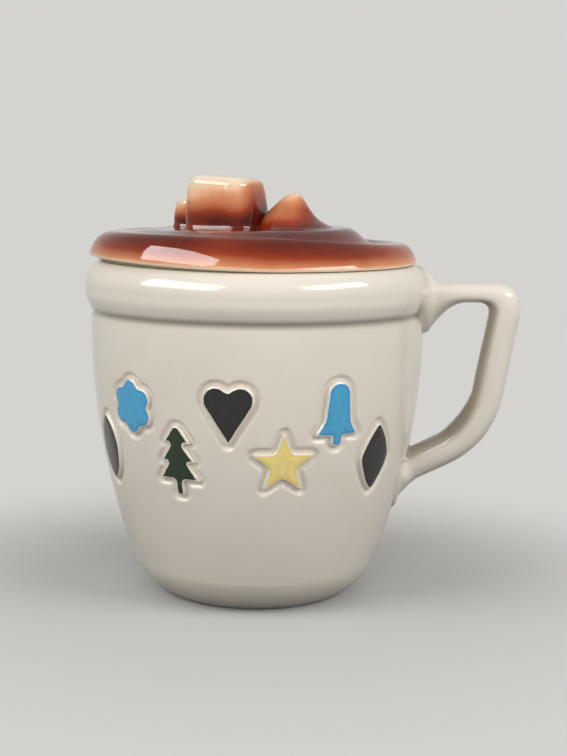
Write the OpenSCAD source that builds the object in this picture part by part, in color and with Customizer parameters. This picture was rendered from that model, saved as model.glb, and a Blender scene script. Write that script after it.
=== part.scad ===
// Biscuit jar in the form of a mug of cocoa, with a lift-off lid that is the cocoa's surface.
// Millimetres. The origin is the centre of the foot ring on the table, +Z is up, the handle
// points along +X and the decorated front faces -Y.

/* [Jar] */
// Height of the rim that the lid rests on
rim_z = 184.5; // [180:0.5:200]
// Radius of the wall just under the rolled band
wall_r = 91.9; // [88:0.1:93]
// Radius of the long curve of the wall, seen from the side
wall_arc = 378; // [340:1:420]
// Distance below the crease at which the wall has become upright
upright_drop = 6.1; // [3:0.5:12]
// Radius of the rounded heel
heel_arc = 37.6; // [34:0.1:41]
// How far the foot plane cuts into the heel's curve
heel_cut = 2.6; // [1.5:0.1:4]
// Thickness of the wall
wall_t = 6; // [4.5:0.1:7]
// Thickness of the floor, measured from the table
floor_t = 8; // [7:0.1:10]
// Radius of the curve between the floor and the wall, inside
inner_heel = 27; // [22:0.5:30]
// Width of the foot ring
foot_w = 6; // [4:0.1:9]
// Depth of the recess inside the foot ring
foot_recess = 2.5; // [1:0.1:3.5]

/* [Rolled band] */
// How far the band round the mouth stands out from the wall
band_out = 3.2; // [2:0.1:5]
// Height of the band, from its crease to the rim
band_h = 26.4; // [24:0.1:30]
// Height over which the band swells out above its crease
swell_h = 10.5; // [7:0.1:13]
// Radius of the band's round top edge
rim_round = 13; // [10:0.1:15]
// Thickness of the band at the mouth
mouth_in = 12.6; // [10:0.1:14]
// Width of the rim's top, from the mouth outwards
rim_w = 4.9; // [4:0.1:5.5]

/* [Handle] */
// How far the handle stands out from the band
handle_out = 50; // [40:0.1:65]
// Distance of the upper arm's middle line below the rim
arm_drop = 14.9; // [14:0.1:19]
// Thickness of the upper arm
arm_t = 10.5; // [9:0.1:14]
// Thickness of the upright bar and of the lower arm
bar_t = 17.2; // [13:0.1:19]
// Width of the handle across the grip
grip_w = 24; // [18:0.1:30]
// Lean of the bar from upright
bar_lean = 10.1; // [5:0.1:16]
// Height at which the lower arm's middle line meets the wall
lower_z = 72.3; // [64:0.1:80]
// Rise of the lower arm from level
lower_rise = 27.5; // [22:0.1:36]
// Radius of the upper bend, on the middle line
upper_bend = 9.2; // [8:0.1:16]
// Radius of the lower bend, on the middle line
lower_bend = 43.4; // [28:0.5:48]
// Extra thickness inside the lower bend
knee_fill = 1.3; // [0:0.1:4]
// Drop of the web under the upper arm where it meets the band
web_drop = 16.9; // [10:0.1:20]
// Reach of that web along the arm
web_reach = 21; // [14:0.1:26]
// Rise of the upper arm's top where it meets the band
root_lift = 7.4; // [3:0.1:9]
// Reach of that rise along the arm
root_reach = 9; // [6:0.1:12]
// Width of the pad where the upper arm meets the band
pad_w = 43; // [30:0.1:46]
// Drop of the web under the lower arm where it meets the wall
foot_drop = 4; // [2:0.1:8]
// Reach of that web along the arm
foot_reach = 8.3; // [6:0.1:16]
// Width of the pad where the lower arm meets the wall
lower_pad_w = 29; // [26:0.1:40]

/* [Relief shapes] */
// Depth of the pocket round each shape
pocket_d = 1.2; // [0.8:0.1:1.8]
// How far each shape's face stands out from the wall
proud = 0.5; // [0.2:0.1:1.2]
// Width of the bare pocket round a shape
pocket_edge = 2.4; // [1.6:0.1:2.8]
// Height of a shape
shape_h = 38; // [30:0.5:40]
// Angle from one shape to the next
shape_pitch = 18.5; // [18:0.1:19.5]
// Height of the middle of the row
row_z = 100; // [90:0.5:108]
// Rise and fall of the shapes from that height
row_swing = 13; // [12.5:0.5:16]

/* [Lid] */
// How far the lid's outline lies inside the band
lid_in = 4.9; // [2.5:0.1:6]
// How much the outline sits off the middle, away from the handle
lid_shift = 2.7; // [0:0.1:3.5]
// Thickness of the lid's lip, at its mean
lip_h = 14.3; // [13:0.1:18]
// Width of the lip's round shoulder
shoulder_w = 12.8; // [11:0.1:16]
// Lift of the lip's lower edge on the side away from the handle
lip_lift = 2.6; // [0:0.1:3.5]
// Height of the raised middle above the rim
middle_h = 19.5; // [18:0.1:22]
// Radius of the raised middle
middle_r = 53.5; // [46:0.5:58]
// How much the raised middle sits off the axis
middle_shift = 5.5; // [0:0.1:8]
// Depth of the trough between the middle and the lip
trough_d = 1.6; // [0.6:0.1:2.5]
// Height of the hollow under the lid
hollow_h = 11; // [6:0.1:12]
// Depth of the collar that holds the lid in the mouth
collar_h = 12; // [8:0.1:18]
// Thickness of the collar
collar_t = 5; // [3.5:0.1:6]
// Clearance of the collar in the mouth
collar_gap = 0.8; // [0.4:0.1:1.5]

/* [Marshmallows and cream] */
// Side of the large marshmallow that is the lid's knob
knob_w = 38.5; // [36:0.5:44]
// Height of the knob
knob_h = 29.4; // [24:0.1:34]
// Radius of the knob's top edge
knob_round = 5.5; // [3:0.1:8]
// Distance of the knob's middle from the axis, away from the handle
knob_x = 16.5; // [10:0.1:20]
// Turn of the knob
knob_turn = -11; // [-20:1:20]
// Drop of the knob's top across its width, towards the handle
knob_drop = 2.2; // [0:0.1:5]
// Width of the small marshmallow
small_w = 24; // [20:0.5:25]
// Height of the small marshmallow
small_h = 14.8; // [12:0.1:20]
// Radius of the small marshmallow's top edge
small_round = 3.5; // [2:0.1:5]
// Place of the small marshmallow from the knob's middle, away from the handle
small_x = 23.5; // [10:0.1:24]
// Place of the small marshmallow from the knob's middle, to the back
small_y = 31.8; // [30:0.1:38]
// Height of the cream's peak
peak_h = 18.7; // [14:0.1:24]
// Reach of the peak's foot from its tip
peak_reach = 25; // [20:0.5:26]
// Distance of the peak's tip from the knob's middle, towards the handle
peak_x = 37.8; // [34:0.1:44]

/* [Colours] */
// Cream glaze of the jar
cream = "#DDD4C6";
// Cocoa glaze of the lid
cocoa = "#8A3A1C";
// Toasted glaze of the marshmallows
toasted = "#D9A878";
// Colours of the relief shapes, from the left
shape_colours = ["#3A2E28", "#59AFCF", "#24401B", "#2D2A26", "#EEC85A", "#59AFCF", "#2D2A26"];

/* [Hidden] */

$fn = 120;
// Hair gap between a part that is fired onto the jar and the wall behind it
seat_gap = 0.05;

// ---- the jar's side view: points are [radius, height] ----

band_r = wall_r + band_out;
mouth_r = band_r - mouth_in;
crease_z = rim_z - band_h;
upright_z = crease_z - upright_drop;
wall_cx = wall_r - wall_arc;
heel_z = heel_arc - heel_cut;
heel_x = tangent_x(wall_arc, heel_arc, heel_z);
heel_end = atan2(heel_z - upright_z, heel_x - wall_cx);
inner_arc = wall_arc - wall_t;
inner_z = floor_t + inner_heel;
inner_x = tangent_x(inner_arc, inner_heel, inner_z);
inner_end = atan2(inner_z - upright_z, inner_x - wall_cx);
round_cr = band_r - rim_round;
rim_out = mouth_r + rim_w;
round_cz = rim_z - sqrt(pow(rim_round, 2) - pow(rim_out - round_cr, 2));
round_end = asin((rim_z - round_cz) / rim_round);
rim_in_round = 1.5;
lip_step = 2;

// Centre of a circle of radius r at height z that touches the wall's long arc from inside
function tangent_x(arc, r, z) = wall_cx + sqrt(pow(arc - r, 2) - pow(z - upright_z, 2));
function arc_pts(c, r, a, b, n) =
    [for (i = [0 : n]) let (t = a + (b - a) * i / n) c + r * [cos(t), sin(t)]];
// Radius of the wall's outside at height z
function wall_at(z) = wall_cx + sqrt(pow(wall_arc, 2) - pow(z - upright_z, 2));
// Soft swelling from 0 to 1, quick at first
function swell(t) = pow(sin(90 * t), 1.5);
function smooth(t) = let (s = min(max(t, 0), 1)) s * s * (3 - 2 * s);

wall_pts = concat(
    arc_pts([wall_cx, upright_z], wall_arc, heel_end, 0, 12),
    [[wall_r, crease_z]]);
outside_pts = concat(
    arc_pts([heel_x, heel_z], heel_arc, -asin(heel_z / heel_arc), heel_end, 8),
    wall_pts,
    [for (i = [1 : 8]) [wall_r + (band_r - wall_r) * swell(i / 8), crease_z + swell_h * i / 8]],
    arc_pts([round_cr, round_cz], rim_round, 0, round_end, 8));
inside_pts = concat(
    arc_pts([mouth_r + rim_in_round, rim_z - rim_in_round], rim_in_round, 90, 180, 4),
    [for (i = [0 : 6]) let (t = i / 6)
        [mouth_r + (wall_r - wall_t - mouth_r) * smooth(t),
         crease_z + swell_h + (lip_step - swell_h) * t]],
    arc_pts([wall_cx, upright_z], inner_arc, 0, inner_end, 12),
    arc_pts([inner_x, inner_z], inner_heel, inner_end, -90, 8));
foot_r = outside_pts[0][0];

// Solid of the jar's outside, with d added to its radius
module jar_solid(d) {
    rotate_extrude()
        polygon(concat([[0, 0]], [for (p = outside_pts) p + [d, 0]], [[0, rim_z]]));
}

module jar_body() {
    color(cream)
        difference() {
            rotate_extrude()
                polygon(concat(
                    outside_pts, inside_pts,
                    [[0, floor_t], [0, foot_recess], [foot_r - foot_w - foot_recess, foot_recess],
                     [foot_r - foot_w, 0]]));
            for (i = [0 : 6])
                difference() {
                    shape_prism(i, pocket_edge);
                    wall_solid(-pocket_d);
                }
        }
}

// ---- relief shapes, centred on their own middle ----

tree_tiers = 3;
star_points = 5;

// Solid bounded by the wall's long arc, with d added to its radius
module wall_solid(d) {
    rotate_extrude()
        polygon(concat([[0, wall_pts[0][1]]], [for (p = wall_pts) p + [d, 0]], [[0, crease_z]]));
}

// Size of a shape that is grown by an edge e all round, as a share of its own
function grown(e) = 1 + 2 * e / shape_h;

module leaf(e) {
    half_w = shape_h * 0.3;
    across = pow(shape_h / 2, 2) / half_w;
    r = (across + half_w) / 2;
    intersection() {
        translate([r - half_w, 0]) circle(r + e);
        translate([half_w - r, 0]) circle(r + e);
    }
}

module flower(e) {
    petal = shape_h * 0.16;
    circle(petal * 1.5 + e);
    for (a = [30 : 60 : 330])
        rotate(a) translate([petal * 1.5, 0]) circle(petal + e);
}

module tree(e) {
    h = shape_h;
    tier = h * 0.26;
    base = -h / 2;
    foot = base + h - tree_tiers * tier;
    // a side that leans by 0.18 over 0.26 moves out by this much when it is grown by 1
    side = (0.18 + norm([0.18, 0.26])) / 0.26;
    right = [for (k = [0 : tree_tiers - 1])
        each [[h * (0.33 - 0.05 * k) + side * e, foot + k * tier - e],
              [h * (0.15 - 0.05 * k) + side * e, foot + (k + 1) * tier - e]]];
    edge = concat([[h * 0.07 + e, base - e], [h * 0.07 + e, foot - e]], right,
                  [[h * 0.05 + e / 2, h / 2 + e]]);
    polygon(concat(edge, [for (k = [len(edge) - 2 : -1 : 0]) [-edge[k][0], edge[k][1]]]));
}

module heart(e) {
    lobe = shape_h * 0.2;
    middle = [lobe * 0.84, shape_h * 0.2];
    tip = [0, -shape_h * 0.44 - e];
    r = lobe + e;
    // angle at which a line from the tip touches the lobe
    d = middle - tip;
    touch = atan2(d[1], d[0]) - asin(r / norm(d)) - 90;
    side = arc_pts(middle, r, touch, 180 - acos(middle[0] / r), 12);
    polygon(concat([tip], side, [for (k = [11 : -1 : 0]) [-side[k][0], side[k][1]]]));
}

module star(e) {
    outer = shape_h * 0.46 * grown(e);
    // a smooth star: the inner arccosine folds a circle into arms with soft tips
    k = 0.97;
    polygon([for (a = [0 : 12 : 348])
        let (bend = cos((2 * asin(k) + 540) / (2 * star_points)),
             fold = cos((2 * asin(k * cos(star_points * a)) + 540) / (2 * star_points)))
        outer * bend / fold * [cos(a + 90), sin(a + 90)]]);
}

module bell(e) {
    crown = shape_h * 0.19;
    skirt = shape_h * 0.33;
    top_y = shape_h * 0.26;
    waist_y = -shape_h * 0.12;
    hem_y = -shape_h * 0.32;
    translate([0, top_y]) circle(crown + e);
    translate([0, hem_y - shape_h * 0.06]) circle(shape_h * 0.1 + e);
    side = [[skirt + e, hem_y - e], [skirt + e, hem_y + crown / 4 + e],
            [crown * 1.18 + e, waist_y + e], [crown * 0.98 + e, top_y]];
    polygon(concat(side, [for (k = [3 : -1 : 0]) [-side[k][0], side[k][1]]]));
}

module diamond(e) {
    h = shape_h / 2 * grown(e);
    w = h * 0.62;
    bulge = 2 / 1.3;
    polygon([for (a = [0 : 15 : 345])
        [w * sign(cos(a)) * pow(abs(cos(a)), bulge), h * sign(sin(a)) * pow(abs(sin(a)), bulge)]]);
}

module shape(i, e) {
    if (i == 0) leaf(e);
    if (i == 1) flower(e);
    if (i == 2) tree(e);
    if (i == 3) heart(e);
    if (i == 4) star(e);
    if (i == 5) bell(e);
    if (i == 6) diamond(e);
}

// Bar with the outline of shape i, grown by e, that runs out through the wall at its place
module shape_prism(i, e) {
    inner = wall_r / 2;
    rotate([0, 0, (i - 3) * shape_pitch])
        translate([0, -inner, row_z + row_swing * (i % 2 == 0 ? -1 : 1)])
            rotate([90, 0, 0])
                linear_extrude(height = inner * 1.2)
                    shape(i, e);
}

module relief(i) {
    color(shape_colours[i])
        intersection() {
            shape_prism(i, 0);
            difference() {
                wall_solid(proud);
                wall_solid(seat_gap - pocket_d);
            }
        }
}

// ---- handle: its middle line lies in the plane y = 0, points are [x, z] ----

handle_reach = band_r + handle_out;
arm_z = rim_z - arm_drop;
turn_up = (90 + bar_lean) / 2;
arm_x = handle_reach - bar_t / 2 - upper_bend * (1 - tan(turn_up));
lean_k = tan(bar_lean);
rise_k = tan(lower_rise);
lower_x = wall_at(lower_z);
knee_x = (arm_x - lean_k * (arm_z - lower_z) - lean_k * rise_k * lower_x) / (1 - lean_k * rise_k);
root_in = 6;
upper_root = [band_r - root_in, arm_z];
elbow = [arm_x, arm_z];
knee = [knee_x, lower_z + (knee_x - lower_x) * rise_k];
lower_root = [lower_x, lower_z] - root_in * [1, rise_k];
grip_sides = 20;
grip_square = 2.6;
arm_pts = 11;
elbow_n = 8;
bar_pts = 4;
knee_n = 9;

function unit(v) = v / norm(v);
// Points from a towards b, without b
function leg(a, b, n) = [for (i = [0 : n - 1]) a + (b - a) * i / n];
// Round corner of radius r at p, on the way from a to b
function bend(p, a, b, r, n) =
    let (u = unit(a - p), v = unit(b - p), h = acos(u * v) / 2,
         c = p + unit(u + v) * r / sin(h),
         s = p + u * r / tan(h) - c, e = p + v * r / tan(h) - c,
         sa = atan2(s[1], s[0]), ea = atan2(e[1], e[0]),
         sweep = ea - sa > 180 ? ea - sa - 360 : ea - sa < -180 ? ea - sa + 360 : ea - sa)
    arc_pts(c, r, sa, sa + sweep, n);
// How much of a root's flare is left at distance d from the wall
function flare(d, reach) = pow(1 - min(max(d / reach, 0), 1), 2);
// Rounded square of exponent k: a point of the unit shape at angle a
function squircle(a, k) =
    [sign(cos(a)) * pow(abs(cos(a)), 2 / k), sign(sin(a)) * pow(abs(sin(a)), 2 / k)];

elbow_pts = bend(elbow, upper_root, knee, upper_bend, elbow_n);
knee_pts = bend(knee, elbow, lower_root, lower_bend, knee_n);
knee_at = arm_pts + elbow_n + 1 + bar_pts;
handle_line = concat(
    leg(upper_root, elbow_pts[0], arm_pts), elbow_pts,
    [for (i = [1 : bar_pts]) elbow_pts[elbow_n] + (knee_pts[0] - elbow_pts[elbow_n]) * i / (bar_pts + 1)],
    knee_pts,
    [for (i = [1 : 6]) knee_pts[knee_n] + (lower_root - knee_pts[knee_n]) * i / 6]);

// Section of the handle at point i of its line, with the flares of both roots
function handle_ring(line, i) =
    let (p = line[i],
         d = unit(line[min(i + 1, len(line) - 1)] - line[max(i - 1, 0)]),
         out = [-d[1], d[0]],
         up = p[0] - band_r,
         down = (p[0] - lower_x) / cos(lower_rise),
         on_arm = i < len(line) / 2,
         web = on_arm ? flare(up, web_reach) : 0,
         foot = on_arm ? 0 : flare(down, foot_reach),
         slim = pow(smooth(up / (arm_x - band_r)), 3),
         turned = min(max((i - knee_at) / knee_n, 0), 1),
         t = (on_arm ? arm_t + (bar_t - arm_t) * slim : bar_t) / 2,
         t_out = t + foot_drop * foot + (on_arm ? root_lift * flare(up, root_reach) : 0),
         t_in = t + web_drop * web + foot_drop * 0.42 * foot + 4 * knee_fill * turned * (1 - turned),
         w = grip_w / 2 + (pad_w - grip_w) / 2 * web * web + (lower_pad_w - grip_w) / 2 * foot)
    [for (j = [0 : grip_sides - 1])
        let (s = squircle(360 * j / grip_sides, grip_square - 0.5 * web),
             v = s[1] * (s[1] > 0 ? t_out : t_in))
        [p[0] + out[0] * v, s[0] * w, p[1] + out[1] * v]];

module handle() {
    rings = [for (i = [0 : len(handle_line) - 1]) handle_ring(handle_line, i)];
    color(cream)
        difference() {
            skin(rings);
            jar_solid(seat_gap);
        }
}

// Closed solid through a list of rings of equal length, each a list of points
module skin(rings) {
    n = len(rings[0]);
    m = len(rings);
    polyhedron(
        points = [for (r = rings) each r],
        faces = concat(
            [[for (j = [0 : n - 1]) j]],
            [for (i = [0 : m - 2], j = [0 : n - 1]) let (k = (j + 1) % n)
                each [[i * n + j, (i + 1) * n + j, (i + 1) * n + k],
                      [i * n + j, (i + 1) * n + k, i * n + k]]],
            [[for (j = [n - 1 : -1 : 0]) (m - 1) * n + j]]));
}

// ---- lid ----

lid_sides = 64;
lid_r = band_r - lid_in;
middle_z = rim_z + middle_h;
seat_out = mouth_r + 3;
collar_out = mouth_r - collar_gap;
collar_in = collar_out - collar_t;
edge_in = 1.5;
lip_slope = 2.6;
lip_front = 2.8;

// The outline and the heights of the lid change round it; a is the angle from +X
function edge_at(a) = lid_r - lid_shift * cos(a) + 0.4 * cos(3 * a + 40);
function low_at(a) = rim_z + 0.1 + lip_lift * (1 - cos(a)) / 2;
function crest_at(a) =
    rim_z + lip_h - lip_slope * cos(a) + lip_front * pow(max(-sin(a), 0), 1.5);
// Height of the lip's lower round, and width of its shoulder
function drop_at(a) = 2 + 1.2 * cos(a);
function shoulder_at(a) = shoulder_w - 1.2 * cos(a);
function middle_at(a) = middle_r + middle_shift * cos(a - 145);

// Depth of the trough, which runs out on the side away from the handle
function trough_at(a) = trough_d * (1 - 0.9 * smooth(1 - 0.7 * (1 - cos(a - 190))));
// Height of the top between the raised middle and the crest of the lip
function top_z(a, t) =
    t < 0.62 ? middle_z + (crest_at(a) - trough_at(a) - middle_z) * smooth(t / 0.62)
             : crest_at(a) - trough_at(a) * (1 - smooth((t - 0.62) / 0.38));

function lid_ring(r_of, z_of) =
    [for (j = [0 : lid_sides - 1])
        let (a = 360 * j / lid_sides, r = r_of(a))
        [r * cos(a), r * sin(a), z_of(a)]];

lid_rings = concat(
    [for (t = [0.02, 0.4, 0.75, 1])
        lid_ring(function (a) middle_at(a) * t, function (a) middle_z)],
    [for (i = [1 : 9])
        lid_ring(function (a) middle_at(a) + (edge_at(a) - shoulder_at(a) - middle_at(a)) * i / 9,
                 function (a) top_z(a, i / 9))],
    [for (b = [15 : 15 : 90])
        lid_ring(function (a) edge_at(a) - shoulder_at(a) * (1 - sin(b)),
                 function (a) low_at(a) + drop_at(a)
                              + (crest_at(a) - low_at(a) - drop_at(a)) * cos(b))],
    [for (b = [30 : 30 : 90])
        lid_ring(function (a) edge_at(a) - edge_in * (1 - cos(b)),
                 function (a) low_at(a) + drop_at(a) * (1 - sin(b)))],
    [lid_ring(function (a) seat_out, function (a) rim_z)],
    [for (r = [collar_in, collar_in - 1])
        lid_ring(function (a) r, function (a) rim_z + (r < collar_in ? 1 : 0))],
    [for (b = [15, 30, 45, 60, 75, 89])
        lid_ring(function (a) (collar_in - 1) * cos(b), function (a) rim_z + 1 + (hollow_h - 1) * sin(b))]);

module lid_shell() {
    color(cocoa) skin(lid_rings);
}

module lid_collar() {
    color(cream)
        rotate_extrude()
            polygon([[collar_in, rim_z], [collar_out, rim_z],
                     [collar_out, rim_z - collar_h + 1.5], [collar_out - 1.5, rim_z - collar_h],
                     [collar_in + 1, rim_z - collar_h], [collar_in, rim_z - collar_h + 1]]);
}

// Marshmallow of side w and height h with a flat foot; drop lowers its top towards +X
module marshmallow(w, h, square, drop, round_r) {
    sides = 32;
    // [share of the half width, share of the height]
    flank = [[1.07, 0], [1.02, 0.06], [1, 0.16], [1.01, 0.4], [1, 0.62]];
    shrink = round_r / (w / 2);
    top_f = round_r / h;
    shoulder = [for (b = [0 : 15 : 75])
        [0.98 - shrink * (1 - cos(b)), 1 - top_f * (1 - sin(b)) - 0.02]];
    cap = [[0.98 - shrink, 0.985], [(0.98 - shrink) * 0.5, 0.997], [0.04, 1]];
    skin([for (s = concat(flank, shoulder, cap))
        [for (j = [sides - 1 : -1 : 0])
            let (p = s[0] * w / 2 * squircle(360 * j / sides, square))
            [p[0], p[1], s[1] * (h - drop * (p[0] / w + 0.5))]]]);
}

knob_at = [-knob_x, -knob_x / 11];
small_at = knob_at + [-small_x, small_y];
peak_at = knob_at + [peak_x, 0];
knob_square = 3.6;

module marshmallow_knob() {
    color(toasted)
        translate([knob_at[0], knob_at[1], middle_z])
            rotate([0, 0, knob_turn])
                marshmallow(knob_w, knob_h, knob_square, knob_drop, knob_round);
}

module small_marshmallow() {
    color(toasted)
        translate([small_at[0], small_at[1], middle_z])
            rotate([0, 0, -10])
                marshmallow(small_w, small_h, 2.4, -knob_drop / 3, small_round);
}

// Peak of cream: a bell that is wide towards the knob and stops short of the knob's side
peak_sides = 36;
peak_edge = 0.4;
peak_stop = norm(peak_at - knob_at) * cos(knob_turn) - knob_w / 2 * 1.07 - 0.4;

function bell_f(t, w) = let (edge = 1 / (1 + pow(1 / w, 2))) (1 / (1 + pow(t / w, 2)) - edge) / (1 - edge);
function peak_foot(a) = peak_reach * (1 + 0.06 * cos(a) - 0.05 * cos(2 * a + 30));
function peak_limit(a) =
    let (c = cos(a - knob_turn)) c < 0 ? min(peak_foot(a), peak_stop / -c) : peak_foot(a);

module cream_peak() {
    color(cocoa)
        translate([peak_at[0], peak_at[1], middle_z])
            skin(concat(
                [[for (j = [peak_sides - 1 : -1 : 0])
                    let (a = 360 * j / peak_sides, r = peak_limit(a)) [r * cos(a), r * sin(a), 0]]],
                [for (s = [1, 0.86, 0.72, 0.58, 0.46, 0.36, 0.27, 0.19, 0.12, 0.06, 0.015])
                    [for (j = [peak_sides - 1 : -1 : 0])
                        let (a = 360 * j / peak_sides, r = s * peak_limit(a),
                             w = 0.34 + 0.26 * (1 - cos(a)) / 2)
                        [r * cos(a), r * sin(a),
                         peak_edge + (peak_h - peak_edge) * bell_f(r / peak_foot(a), w)]]]));
}

jar_body();
handle();
relief(0);  // relief_leaf
relief(1);  // relief_flower
relief(2);  // relief_tree
relief(3);  // relief_heart
relief(4);  // relief_star
relief(5);  // relief_bell
relief(6);  // relief_diamond
lid_shell();
lid_collar();
marshmallow_knob();
small_marshmallow();
cream_peak();
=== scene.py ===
"""Biscuit jar in the form of a mug of cocoa, with relief shapes and a rippled lid."""

import math
from types import SimpleNamespace

import bmesh
import bpy
import numpy as np
from mathutils import Matrix, Vector, noise


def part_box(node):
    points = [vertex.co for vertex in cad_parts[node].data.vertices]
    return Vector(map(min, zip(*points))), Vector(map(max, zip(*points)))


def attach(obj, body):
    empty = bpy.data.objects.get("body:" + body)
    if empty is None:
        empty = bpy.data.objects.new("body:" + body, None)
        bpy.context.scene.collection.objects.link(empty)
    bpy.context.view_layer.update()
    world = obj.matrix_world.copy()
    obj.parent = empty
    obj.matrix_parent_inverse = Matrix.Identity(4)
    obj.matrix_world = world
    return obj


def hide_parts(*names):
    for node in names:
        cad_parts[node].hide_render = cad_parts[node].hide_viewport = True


bl_info = {
    "name": "Cocoa mug biscuit jar",
    "version": (1, 0, 0),
    "blender": (4, 5, 0),
    "location": "View3D > Sidebar > Biscuit jar",
    "description": "Makes a glazed biscuit jar with relief shapes and a marshmallow lid",
    "category": "Add Mesh",
}

MM = 0.001
# how far faces that would fall together are kept apart, in millimetres
HAIR = 0.02
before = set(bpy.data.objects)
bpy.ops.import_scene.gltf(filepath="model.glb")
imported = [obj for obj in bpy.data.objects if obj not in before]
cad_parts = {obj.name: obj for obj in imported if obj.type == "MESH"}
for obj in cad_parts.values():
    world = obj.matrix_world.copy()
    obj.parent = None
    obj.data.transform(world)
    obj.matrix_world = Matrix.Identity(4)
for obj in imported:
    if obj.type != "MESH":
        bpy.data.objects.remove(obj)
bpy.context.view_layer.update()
RIM_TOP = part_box("jar_body")[1].z / MM
HANDLE_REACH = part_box("handle")[1].x / MM
LID_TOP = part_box("lid_shell")[1].z / MM
KNOB_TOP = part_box("marshmallow_knob")[1].z / MM

RELIEFS = ("leaf", "flower", "tree", "heart", "star", "bell", "diamond")

# the warped rim rises and falls over these spans, in degrees from the handle's side
WARP_START, WARP_RISE = 110, 60
WARP_END, WARP_FALL = 290, 84


# ---- properties ----


def length(name, millimetres, description):
    """A length whose default is given in millimetres."""
    return bpy.props.FloatProperty(
        name=name, description=description, default=millimetres * MM, min=0, precision=4,
        unit="LENGTH", subtype="DISTANCE")


def turn(name, degrees, description):
    """An angle whose default is given in degrees."""
    return bpy.props.FloatProperty(
        name=name, description=description, default=math.radians(degrees),
        unit="ROTATION", subtype="ANGLE")


def share(name, value, description):
    """A share from 0 to 1."""
    return bpy.props.FloatProperty(
        name=name, description=description, default=value, min=0, max=1, subtype="FACTOR")


def watts(name, value, description):
    """The power of a lamp."""
    return bpy.props.FloatProperty(
        name=name, description=description, default=value, min=0, unit="POWER")


def linear(red, green, blue):
    """A screen colour from 0 to 255 as the light that it stands for."""
    return tuple(
        v / 12.92 if v <= 0.04045 else ((v + 0.055) / 1.055) ** 2.4
        for v in (red / 255, green / 255, blue / 255))


def tone(name, screen, description):
    """A glaze colour whose default is given as a screen colour."""
    return bpy.props.FloatVectorProperty(
        name=name, description=description, default=linear(*screen), min=0, max=1,
        size=3, subtype="COLOR")


class JarSizes(bpy.types.PropertyGroup):
    """The thrown body of the jar."""

    rim_z: length("Rim height", RIM_TOP, "Height of the rim that the lid rests on")
    wall_r: length("Wall radius", 91.9, "Radius of the wall just under the rolled band")
    wall_arc: length("Wall curve", 378, "Radius of the wall's long curve, seen from the side")
    upright_drop: length("Upright drop", 6.1, "Drop from the crease to the upright wall")
    heel_arc: length("Heel curve", 37.6, "Radius of the rounded heel")
    heel_cut: length("Heel cut", 2.6, "How far the foot plane cuts into the heel's curve")
    wall_t: length("Wall thickness", 6, "Thickness of the wall")
    floor_t: length("Floor height", 8, "Height of the floor inside")
    inner_heel: length("Inner heel", 27, "Radius of the curve between floor and wall, inside")
    foot_w: length("Foot width", 6, "Width of the foot ring")
    foot_recess: length("Foot recess", 2.5, "Depth of the recess inside the foot ring")
    band_out: length("Band stand-out", 3.2, "How far the rolled band stands out from the wall")
    band_h: length("Band height", 26.4, "Height of the band, from its crease to the rim")
    swell_h: length("Band swell", 10.5, "Height over which the band swells out")
    rim_round: length("Band top curve", 13, "Radius of the band's round top edge")
    mouth_in: length("Band thickness", 12.6, "Thickness of the band at the mouth")
    rim_w: length("Rim width", 4.9, "Width of the flat on top of the rim")
    rim_rise: length("Rim rise", 1, "Rise of the warped rim, away from the handle")
    crease_cut: length("Crease depth", 0.9, "Depth of the line under the band")
    wobble: length("Hand wobble", 0.3, "How far the glazed surface strays from its true form")


class ReliefSizes(bpy.types.PropertyGroup):
    """The raised shapes and their pockets."""

    size: length("Shape height", 38, "Height of a shape")
    pitch: turn("Shape pitch", 18.5, "Angle from one shape to the next")
    row_z: length("Row height", 100, "Height of the middle of the row")
    swing: length("Row swing", 13, "Rise and fall of the shapes from that height")
    pocket: length("Pocket depth", 1.4, "Depth of the pocket round each shape")
    pocket_flat: length("Pocket floor", 1.5, "Width of the pocket's floor round a shape")
    pocket_edge: length("Pocket edge", 3.2, "Distance from a shape at which its pocket has ended")
    proud: length("Proud", 0.6, "How far a shape's face stands out from the wall")
    edge_round: length("Edge round", 1.25, "Width of a shape's round edge")
    corner_soft: length("Corner softness", 1.0, "How far the corners of an outline are rounded")


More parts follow.
